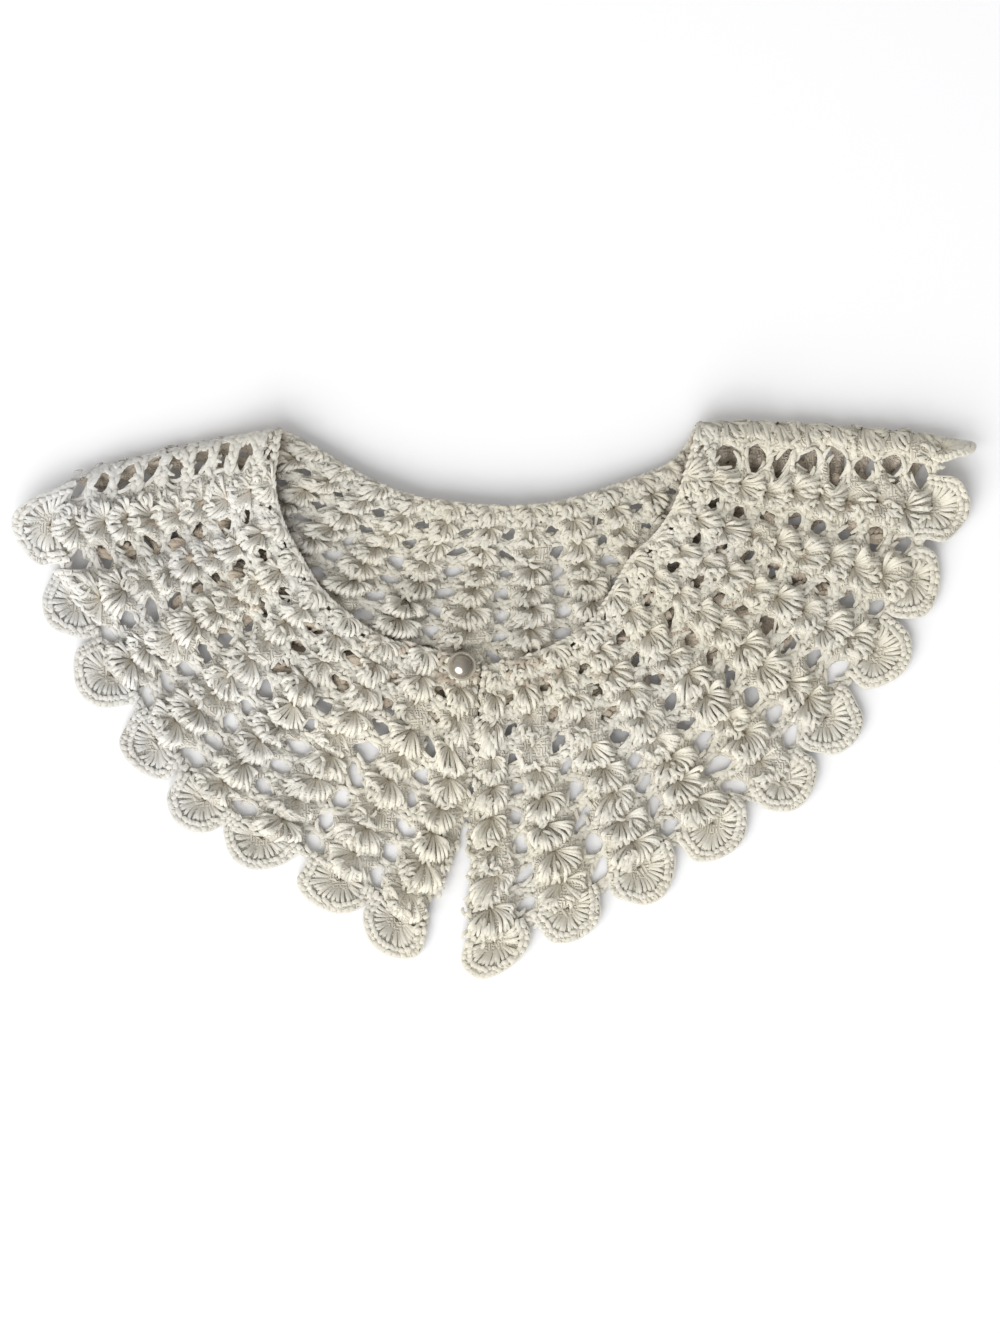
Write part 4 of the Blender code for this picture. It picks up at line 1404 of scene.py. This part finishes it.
@dataclass
class NeckEdging:
    """The close-worked edging along the neckline: V stitches on a core, and short posts at the back."""

    makers: tuple[Crochet, ...]
    step: float = 2.0                     # length of one V stitch
    leg: float = 1.8                      # length of its legs, in steps
    post_step: float = 1.7                # from one short post to the next

    def legs(self, make: Crochet, column: Array, line: float, slope: float) -> Strands:
        """One leg of each V stitch, at a distance from the neckline.

        Args:
            make: The panel's crochet.
            column: Column numbers of the legs.
            line: Their distance from the neckline.
            slope: Their heading against it.

        Returns:
            The legs.
        """
        chance, count = make.chance, len(column)
        down = make.panel.pitch(column, np.zeros(count))[1]
        heading = slope + chance.normal(0, 0.1, count)
        bend = np.sign(slope) * 0.2 + chance.normal(0, 0.08, count)
        lift = chance.normal(0, 0.08, count)
        return make.curls(column, line / down, heading, np.full(count, self.leg * self.step), bend, lift)

    def short_posts(self, make: Crochet, length: float) -> Strands:
        """The posts between the back's neckline and its first shells.

        Args:
            make: The back's crochet.
            length: Length of its neckline.

        Returns:
            The posts.
        """
        panel, chance = make.panel, make.chance
        column = np.linspace(panel.low, panel.high, round(length / self.post_step), endpoint=False)
        count = len(column)
        down = panel.pitch(column, np.zeros(count))[1]
        slope = QUARTER + chance.normal(0.1, 0.12, count)
        return make.curls(column, 2.2 / down, slope, np.full(count, 3.0), chance.normal(0, 0.15, count),
                          chance.normal(0.2, 0.1, count))

    def surface(self) -> Surface:
        """The edging in three stretches that meet at the shoulder folds.

        Returns:
            The edging's surface.
        """
        parts = []
        for make in self.makers:
            panel = make.panel
            run = np.linspace(panel.low, panel.high, 120)
            across, down = panel.pitch(run, np.zeros(120))
            length = np.trapz(across, run)
            column = np.linspace(panel.low, panel.high, round(length / self.step), endpoint=False)
            strands = [self.legs(make, column, 0.7, -0.4), self.legs(make, column, 1.6, 0.4)]
            if panel.face < 0:
                strands.append(self.short_posts(make, length))
            parts.append(Strands.join(strands).surface(panel, make.post_sides))
            # painted shade: the thicker core is darkened under the V stitches
            for line, radius, depth in ((1.1, 0.75, 0.7), (0.45, 0.42, 0.1)):
                core = make.flatten(run[None], line / down[None], -0.25, radius, 0.0, depth)
                parts.append(core.surface(panel, 8))
        return Surface.join(parts)


class Shade(Enum):
    """The yarn's named colours, as linear red, green and blue; four of them are painted shade and painted
    light.
    """

    CREAM = (0.715, 0.68, 0.575)
    COOL = (0.665, 0.66, 0.64)
    # painted shade in the crevices among the stitches
    CREVICE_SHADE = (0.45, 0.385, 0.28)
    # painted shade: tan on the back where the fronts lie over it
    UNDER_FRONTS_SHADE = (0.56, 0.475, 0.375)
    # painted light: a lighter tan glow inside a shoulder's roll
    ROLL_GLOW = (0.92, 0.82, 0.69)
    # painted shade in the shells' pin holes
    PIN_HOLE_SHADE = (0.10, 0.075, 0.05)

    @property
    def rgba(self) -> tuple[float, ...]:
        """The colour as a socket takes it."""
        return (*self.value, 1)


class Graph:
    """A material's nodes, added by short calls."""

    def __init__(self, name: str) -> None:
        """Starts an empty node tree with its output.

        Args:
            name: The material's name.
        """
        self.material = bpy.data.materials.new(name)
        self.material.use_nodes = True
        self.tree = self.material.node_tree
        self.tree.nodes.clear()
        self.output = self.tree.nodes.new("ShaderNodeOutputMaterial")

    def add(self, kind: str, inputs: dict, **settings: object) -> bpy.types.Node:
        """Adds a node.

        Args:
            kind: The node's type, without the prefix ShaderNode.
            inputs: What goes into its inputs by name or number: a value, or another node's output.
            **settings: Its own settings.

        Returns:
            The node.
        """
        node = self.tree.nodes.new("ShaderNode" + kind)
        for name, value in settings.items():
            setattr(node, name, value)
        for name, value in inputs.items():
            if isinstance(value, bpy.types.NodeSocket):
                self.tree.links.new(value, node.inputs[name])
            else:
                node.inputs[name].default_value = value
        return node

    def math(self, operation: str, first: object, second: object = 0.0) -> bpy.types.NodeSocket:
        """The result of a calculation on two values."""
        return self.add("Math", {0: first, 1: second}, operation=operation).outputs[0]

    def mix(self, share: object, first: object, second: object, blend: str = "MIX") -> bpy.types.NodeSocket:
        """A mix of two colours."""
        inputs = {0: share, 6: first, 7: second}
        return self.add("Mix", inputs, data_type="RGBA", blend_type=blend).outputs[2]

    def ramp(self, value: object, low: float, high: float, to_low: float = 0.0,
             to_high: float = 1.0) -> bpy.types.NodeSocket:
        """A value stretched from one range to another, and held at its ends."""
        inputs = {0: value, 1: low, 2: high, 3: to_low, 4: to_high}
        return self.add("MapRange", inputs).outputs[0]

    def place(self) -> bpy.types.NodeSocket:
        """Object coordinates, which are metres in the frame."""
        return self.add("TexCoord", {}).outputs["Object"]

    def attribute(self, name: str) -> bpy.types.NodeSocket:
        """A number that the mesh has at each point."""
        return self.add("Attribute", {}, attribute_name=name).outputs["Fac"]

    def noise(self, scale: float, detail: float) -> bpy.types.NodeSocket:
        """Clouds of a scale, in features for each metre."""
        return self.add("TexNoise", {"Vector": self.place(), "Scale": scale, "Detail": detail}).outputs[0]

    def finish(self, colour: object, height: object, relief: float, looks: dict[str, float],
               strength: float = 1.0) -> bpy.types.Material:
        """Gives the material its shader, with a bump.

        Args:
            colour: The base colour.
            height: The bump's height, from about 0 to 1.
            relief: What 1 of it stands for, in metres.
            looks: The shader's other inputs by name.
            strength: The bump's strength.

        Returns:
            The finished material.
        """
        bump = self.add("Bump", {"Height": height, "Distance": relief, "Strength": strength}).outputs[0]
        shader = self.add("BsdfPrincipled", {"Base Color": colour, "Normal": bump, **looks})
        self.tree.links.new(shader.outputs[0], self.output.inputs[0])
        return self.material


def cotton_colour(g: Graph) -> tuple[bpy.types.NodeSocket, bpy.types.NodeSocket]:
    """Cream cotton: cooler towards the left shoulder and in faint clouds, painted tan shade under the fronts.

    Its point attribute is 0 on open cloth, 1 under the fronts and 2 inside a shoulder's roll, which is
    painted lighter as a glow.

    Args:
        g: The material's nodes.

    Returns:
        The colour, and the share of the crevices' painted shade that is kept, down to a quarter under the
        fronts.
    """
    along = g.add("SeparateXYZ", {0: g.place()}).outputs[0]
    clouds = g.ramp(g.noise(28.0, 2.0), 0.4, 0.65, 0.0, 0.35)
    cool = g.math("ADD", g.ramp(along, -0.02, -0.16, 0.0, 0.75), clouds)
    colour = g.mix(cool, Shade.CREAM.rgba, Shade.COOL.rgba)
    painted_shade_and_glow = g.attribute("painted_shade_and_glow")
    colour = g.mix(g.ramp(painted_shade_and_glow, 0.0, 1.0), colour, Shade.UNDER_FRONTS_SHADE.rgba)
    colour = g.mix(g.ramp(painted_shade_and_glow, 1.0, 2.0), colour, Shade.ROLL_GLOW.rgba)
    return colour, g.ramp(painted_shade_and_glow, 0.0, 1.0, 1.0, 0.25)


def with_painted_shade(g: Graph, colour: object, dark: object, depth: object, hole: float) -> bpy.types.NodeSocket:
    """Cotton with painted shade in its crevices, and the darkest painted shade in the shells' pin holes.

    Args:
        g: The material's nodes.
        colour: The cotton's colour.
        dark: How strong the crevices' painted shade is, from 0 to 1.
        depth: How deep the place lies among the stitches.
        hole: The depth at which a pin hole's painted shade begins.

    Returns:
        The colour.
    """
    colour = g.mix(dark, colour, Shade.CREVICE_SHADE.rgba)
    return g.mix(g.ramp(depth, hole, hole + 0.35), colour, Shade.PIN_HOLE_SHADE.rgba)


@dataclass(frozen=True)
class YarnFinish:
    """Mercerised crochet cotton: plies, fibres, a soft sheen, and warm painted shade among the stitches."""

    name: str
    brightness: float = 1.0
    ply_pitch: float = 1.5                # millimetres along a strand for one ply
    ply_depth: float = 0.00006            # metres

    def build(self) -> bpy.types.Material:
        """Makes the material.

        Returns:
            The material.
        """
        g = Graph(self.name)
        depth = g.attribute("depth")
        light = g.math("MULTIPLY", g.ramp(g.attribute("tone"), -2.5, 2.5, 0.90, 1.06), self.brightness)
        grey = g.add("CombineColor", {0: light, 1: light, 2: light}).outputs[0]
        colour, keeps = cotton_colour(g)
        colour = g.mix(1.0, colour, grey, "MULTIPLY")
        plies = g.add("SeparateXYZ", {0: g.add("UVMap", {}, uv_map="yarn").outputs[0]}).outputs
        wind = g.math("ADD", g.math("MULTIPLY", plies[0], 3.0), g.math("DIVIDE", plies[1], self.ply_pitch))
        wave = g.math("ABSOLUTE", g.math("SINE", g.math("MULTIPLY", wind, math.pi)))
        groove = g.math("POWER", wave, 0.5)
        # painted shade: darker in the grooves between the plies, and deeper among the stitches
        dark = g.math("MAXIMUM", depth, g.ramp(groove, 0.0, 0.5, 0.12, 0.0))
        colour = with_painted_shade(g, colour, g.math("MULTIPLY", dark, keeps), depth, 1.0)
        height = g.math("ADD", groove, g.math("MULTIPLY", g.noise(5200.0, 2.0), 0.35))
        looks = {"Roughness": 0.62, "Sheen Weight": 0.2, "Sheen Roughness": 0.5, "Specular IOR Level": 0.15}
        return g.finish(colour, height, self.ply_depth, looks)


@dataclass(frozen=True)
class TangleFinish:
    """The cloth under the drawn stitches: the same cotton, as strands that run every way, with painted shade
    where they lie low.
    """

    name: str
    strand: float = 0.0011                # metres from one strand to the next
    relief: float = 0.0004                # metres

    def build(self) -> bpy.types.Material:
        """Makes the material.

        Returns:
            The material.
        """
        g = Graph(self.name)
        place, depth = g.place(), g.attribute("depth")
        scale = math.tau / 20 / self.strand
        waves = [g.add("TexWave", {"Vector": place, "Scale": scale, "Distortion": 9.0, "Detail": 1.0,
                                   "Detail Scale": 0.35}, bands_direction=way).outputs[1]
                 for way in ("X", "Y", "DIAGONAL")]
        patches = g.noise(420.0, 1.0)
        height = g.mix(g.ramp(patches, 0.44, 0.47), waves[0], waves[1])
        height = g.mix(g.ramp(patches, 0.53, 0.56), height, waves[2])
        # painted shade: darker where the strand pattern is low, and deeper among the stitches
        dark = g.math("MAXIMUM", g.ramp(height, 0.15, 0.75, 0.55, 0.1), g.ramp(depth, 0.5, 1.0, 0.0, 0.9))
        colour, keeps = cotton_colour(g)
        colour = with_painted_shade(g, colour, g.math("MULTIPLY", dark, keeps), depth, 1.1)
        looks = {"Roughness": 0.75, "Sheen Weight": 0.2, "Specular IOR Level": 0.15}
        return g.finish(colour, height, self.relief, looks)


@dataclass(frozen=True)
class PearlFinish:
    """A glossy pearl: a warm grey body under a clear coat, a painted dark reflection on one side, faint
    clouds.
    """

    name: str
    colour: tuple[float, float, float]
    metallic: float
    roughness: float
    see_through: float = 0.0
    # the side of the painted dark reflection
    dark_reflection_side: tuple[float, float] = (0.0, 0.0)     # where it starts and is full, in metres along X

    def toned(self, share: float) -> tuple[float, ...]:
        """The pearl's colour at a share of its brightness."""
        return (*(share * part for part in self.colour), 1)

    def build(self) -> bpy.types.Material:
        """Makes the material.

        Returns:
            The material.
        """
        g = Graph(self.name)
        cloud = g.noise(420.0, 3.0)
        colour = g.mix(g.ramp(cloud, 0.35, 0.65), self.toned(1.0), self.toned(0.82))
        # painted reflection: darker towards one side along X
        if self.dark_reflection_side[0] < self.dark_reflection_side[1]:
            along = g.add("SeparateXYZ", {0: g.place()}).outputs[0]
            colour = g.mix(g.ramp(along, *self.dark_reflection_side), colour, self.toned(0.36))
        looks = {"Metallic": self.metallic, "Roughness": self.roughness, "Coat Weight": 1.0,
                 "Coat Roughness": 0.06, "Transmission Weight": self.see_through}
        return g.finish(colour, cloud, 0.00003, looks, 0.6)


@dataclass
class Fastening:
    """The pearl button on its thread stem, and the loop of the other front round the stem."""

    rim_radius: float = 5.2
    rim_thickness: float = 1.1
    dome_radius: float = 4.0
    dome_height: float = 3.4
    segments: int = 72
    loop_half_width: float = 1.2          # from the loop's middle line to its feet

    @staticmethod
    def box(node: str) -> tuple[Array, Array]:
        """A CAD node's lowest and highest corners, in millimetres."""
        low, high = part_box(node)
        return np.array(low) / MM, np.array(high) / MM

    def turned(self, profile: Array) -> Surface:
        """A profile of radius and height carried round the vertical through the button's middle.

        Args:
            profile: Radius and height over its underside, from the bottom up.

        Returns:
            The closed surface.
        """
        low, high = self.box("button")
        centre = np.array([(low[0] + high[0]) / 2, (low[1] + high[1]) / 2, low[2]])
        turn = 2 * math.pi * np.arange(self.segments) / self.segments
        radius, height = profile[:, 0][None], profile[:, 1][None]
        points = np.stack([radius * np.cos(turn)[:, None], radius * np.sin(turn)[:, None],
                           height + 0 * turn[:, None]], -1) + centre
        number = np.arange(points.shape[0] * points.shape[1]).reshape(points.shape[:2])
        ahead = np.roll(number, -1, axis=0)
        quads = np.stack([number[:, :-1], ahead[:, :-1], ahead[:, 1:], number[:, 1:]], -1).reshape(-1, 4)
        caps = np.stack([number[::-1, 0], number[:, -1]])
        flat = points.reshape(-1, 3)[:, :2]
        return Surface(points.reshape(-1, 3), [quads, caps], [flat[quads], flat[caps]],
                       np.zeros(number.size), np.zeros(number.size))

    def pearl(self) -> Surface:
        """The dome, from its foot on the rim to its crown.

        Returns:
            The closed surface.
        """
        turn = np.linspace(0, QUARTER * 0.985, 24)
        foot, height = 0.7 * self.rim_thickness, self.dome_height + 0.3 * self.rim_thickness
        return self.turned(np.stack([self.dome_radius * np.cos(turn), foot + height * np.sin(turn)], -1))

    def rim(self) -> Surface:
        """The flat disc with a rounded edge that the dome sits on.

        Returns:
            The closed surface.
        """
        turn = np.linspace(-QUARTER, QUARTER, 12)
        half = self.rim_thickness / 2
        bead = np.stack([self.rim_radius - half + half * np.cos(turn), half + half * np.sin(turn)], -1)
        under = np.array([[0.3, 0.0]])
        top = np.array([[self.dome_radius + 0.2, self.rim_thickness * 0.75], [0.3, 0.6]])
        return self.turned(np.concatenate([under, bead, top]))

    @staticmethod
    def winding(path: Array, radius: float, plies: int, pitch: float, strand: float) -> Surface:
        """Strands wound round a path as helices.

        Args:
            path: Points of the path.
            radius: From the path to the strands' middles.
            plies: How many strands.
            pitch: Length of a full turn.
            strand: The strands' radius.

        Returns:
            Their surface.
        """
        tangent = np.gradient(path, axis=0)
        tangent /= np.linalg.norm(tangent, axis=1, keepdims=True)
        away = np.array([0.3, 0.2, 1.0]) if abs(tangent[0, 2]) < 0.7 else np.array([1.0, 0.2, 0.1])
        side = np.cross(tangent, away)
        side /= np.linalg.norm(side, axis=1, keepdims=True)
        up = np.cross(side, tangent)
        run = np.concatenate([[0], np.cumsum(np.linalg.norm(np.diff(path, axis=0), axis=1))])
        turn = 2 * math.pi * (run / pitch + np.arange(plies)[:, None] / plies)[..., None]
        out = np.cos(turn) * side + np.sin(turn) * up
        points = path + radius * out
        size = points.shape[:2]
        return tubes(points, np.broadcast_to(out, points.shape), np.full(size, strand), 7, np.zeros(size),
                     np.full(size, 0.1))

    def stem(self) -> Surface:
        """The thread stem: sewing thread wound round and round.

        Returns:
            The thread's surface.
        """
        low, high = self.box("button_shank")
        part = np.linspace(0, 1, 120)
        path = low + (high - low) * 0.5 + 0 * part[:, None]
        path[:, 2] = low[2] + 0.1 + (high[2] - low[2] - 0.2) * part
        return self.winding(path, 0.7, 2, 0.75, 0.2)

    def loop(self) -> Surface:
        """The loop: a two-ply cord out from the right front, round the stem and back.

        Returns:
            The cord's surface.
        """
        low, high = self.box("button_loop")
        wire = (high[2] - low[2]) / 2
        radius, middle = (high[1] - low[1]) / 2 - wire, (low[1] + high[1]) / 2
        centre = low[0] + radius + wire
        turn = np.linspace(math.radians(-60), math.radians(-300), 40)
        ring = np.stack([centre + radius * np.cos(turn), middle + radius * np.sin(turn)], -1)
        foot = high[0] - wire
        leg_out = np.linspace((foot, middle - self.loop_half_width), ring[0], 14)
        leg_back = np.linspace(ring[-1], (foot, middle + self.loop_half_width), 14)
        flat = np.concatenate([leg_out[:-1], ring, leg_back[1:]])
        path = np.concatenate([flat, np.full((len(flat), 1), (low[2] + high[2]) / 2)], 1)
        return self.winding(path, 0.27, 2, 2.2, 0.30)


@dataclass
class Studio:
    """Floor, light and camera: the collar is seen from straight above, lit by a broad window light."""

    view_centre: tuple[float, float] = (1.1, 11.9)      # what the picture's middle looks at
    view_height: float = 476.0                          # length of table that the picture shows
    distance: float = 1200.0
    sensor: float = 36.0
    window: tuple[float, ...] = (-124.0, 35.0, 4000.0, 131.0)   # heading, elevation, width and power
    glint: tuple[float, ...] = (-124.0, 35.0, 300.0, 4.0)       # a small bright lamp in the same place
    light_distance: float = 3000.0
    fill: float = 0.54

    def camera(self) -> None:
        """A long lens straight above the collar."""
        data = bpy.data.cameras.new("camera")
        data.sensor_width = self.sensor
        data.lens = self.sensor / 2 / (self.view_height / 2 / self.distance)
        data.clip_start, data.clip_end = 0.01, 20.0
        camera = put_in_scene("camera", data)
        camera.location = (self.view_centre[0] * MM, self.view_centre[1] * MM, self.distance * MM)
        bpy.context.scene.camera = camera

    def floor(self) -> None:
        """A wide matt table."""
        mesh = bpy.data.meshes.new("table")
        corners = np.array([[-1, -1], [1, -1], [1, 1], [-1, 1]]) * 3.0
        mesh.from_pydata([(x, y, 0.0) for x, y in corners], [], [(0, 1, 2, 3)])
        g = Graph("table_white")
        looks = {"Roughness": 0.9, "Specular IOR Level": 0.1}
        mesh.materials.append(g.finish((0.93, 0.93, 0.94, 1), g.noise(900.0, 2.0), 0.00002, looks, 0.3))
        put_in_scene("table", mesh)

    def lamp(self, name: str, heading: float, elevation: float, size: float, power: float) -> None:
        """A round area light that faces the collar.

        Args:
            name: The light's name.
            heading: Where it stands, in degrees from +X.
            elevation: In degrees over the table.
            size: Its width in millimetres.
            power: Its power in watts.
        """
        heading, elevation = math.radians(heading), math.radians(elevation)
        data = bpy.data.lights.new(name, "AREA")
        data.shape = "DISK"
        data.size = size * MM
        data.energy = power
        lamp = put_in_scene(name, data)
        away = np.array([math.cos(heading) * math.cos(elevation), math.sin(heading) * math.cos(elevation),
                         math.sin(elevation)])
        lamp.location = away * self.light_distance * MM
        lamp.rotation_euler = (QUARTER - elevation, 0.0, heading + QUARTER)

    def light(self) -> None:
        """The window light, its glint, and an even pale surround."""
        self.lamp("window", *self.window)
        self.lamp("glint", *self.glint)
        world = bpy.data.worlds.new("surround")
        world.use_nodes = True
        background = world.node_tree.nodes["Background"]
        background.inputs[0].default_value = (1.0, 1.0, 1.0, 1.0)
        background.inputs[1].default_value = self.fill
        bpy.context.scene.world = world

    def build(self) -> None:
        """Sets up everything round the collar."""
        self.camera()
        self.floor()
        self.light()
        bpy.context.scene.view_settings.view_transform = "Standard"


@dataclass
class Collar:
    """The whole collar: panels, edging and fastening."""

    def build(self) -> None:
        """Makes and dresses every piece, and hides the CAD parts that they replace."""
        yarn = YarnFinish("cotton_yarn").build()
        # a darker copy of the yarn for the back: painted shade on the lower layer
        inside = YarnFinish("cotton_yarn_shaded_inside", brightness=0.86).build()
        inner = TangleFinish("cotton_inner").build()
        makers = [Crochet(panel, seed) for seed, panel in enumerate(lay_out(), start=1)]
        neck = NeckEdging(tuple(makers)).surface().make("neck_edging_yarn", yarn, "cotton")
        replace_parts(neck, "neck_edging")
        for make in makers:
            name = make.panel.name
            web = Web(make.panel).surface().make(name + "_web", inner, "cotton")
            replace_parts(web, name)
            finish = inside if name == "back" else yarn
            pieces = [surface.make(f"{name}_{part}", finish, "cotton")
                      for part, surface in make.stitches().items()]
            pieces.append(Scallops(make).surface().make(name + "_scallops", finish, "cotton"))
            if name == "back":
                for piece in (web, *pieces):
                    self.age(piece, make.panel)
                pieces.append(neck)
            width, length, area = make.panel.flat_cut()
            LOG.info("%s: cut %.0f x %.0f mm, %.0f cm2", name, width / MM, length / MM, area * 1e4)
        self.fasten(yarn)

    @staticmethod
    def age(piece: bpy.types.Object, panel: Panel) -> None:
        """Marks painted tan shade under the fronts with 0 to 1, and painted glow in a shoulder's roll up to
        2.

        A crest is a straight line in plan, so the roll is what lies within a distance of it.

        Args:
            piece: The piece.
            panel: The panel that it belongs to.
        """
        points = np.empty(3 * len(piece.data.vertices), np.float32)
        piece.data.vertices.foreach_get("co", points)
        points = points.reshape(-1, 3) / MM
        covered = ease((panel.under_fronts(points) + 3.5) / 7)
        # painted glow: the cloth within a distance of a crest is painted lighter
        rolled = np.zeros(len(points))
        for crest in (panel.columns[0], panel.columns[-1]):
            neck, hem = np.array([crest.neck_x, crest.neck_y]), np.array([crest.hem_x, crest.hem_y])
            run, away = (hem - neck) / np.linalg.norm(hem - neck), points[:, :2] + ORIGIN[:2] - neck
            off = np.abs(run[0] * away[:, 1] - run[1] * away[:, 0])
            rolled = np.maximum(rolled, 1 - ease((off - 9) / 5))
        painted_shade_and_glow = piece.data.attributes.new("painted_shade_and_glow", "FLOAT", "POINT")
        painted_shade_and_glow.data.foreach_set("value", (covered * (1 + rolled)).astype(np.float32))

    @staticmethod
    def fasten(yarn: bpy.types.Material) -> None:
        """Makes the button, its stem and its loop.

        Args:
            yarn: The cotton's material.
        """
        parts = Fastening()
        middle = (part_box("button")[0][0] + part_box("button")[1][0]) / 2
        pearl = PearlFinish("pearl_dome", (0.46, 0.41, 0.34), 0.7, 0.18,
                            dark_reflection_side=(middle - 1.0 * MM, middle + 3.6 * MM)).build()
        clear = PearlFinish("pearl_rim", (0.60, 0.54, 0.43), 0.0, 0.2, 0.35).build()
        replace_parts(parts.pearl().make("button_pearl", pearl, "pearl"), "button")
        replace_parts(parts.rim().make("button_rim", clear, "pearl"), "button")
        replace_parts(parts.stem().make("button_stem_thread", yarn, "thread"), "button_shank")
        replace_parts(parts.loop().make("button_loop_yarn", yarn, "cotton"), "button_loop")


def main() -> None:
    """Builds the scene."""
    logging.basicConfig(level=logging.INFO, format="%(message)s")
    Studio().build()
    Collar().build()


if __name__ == "__main__":
    main()
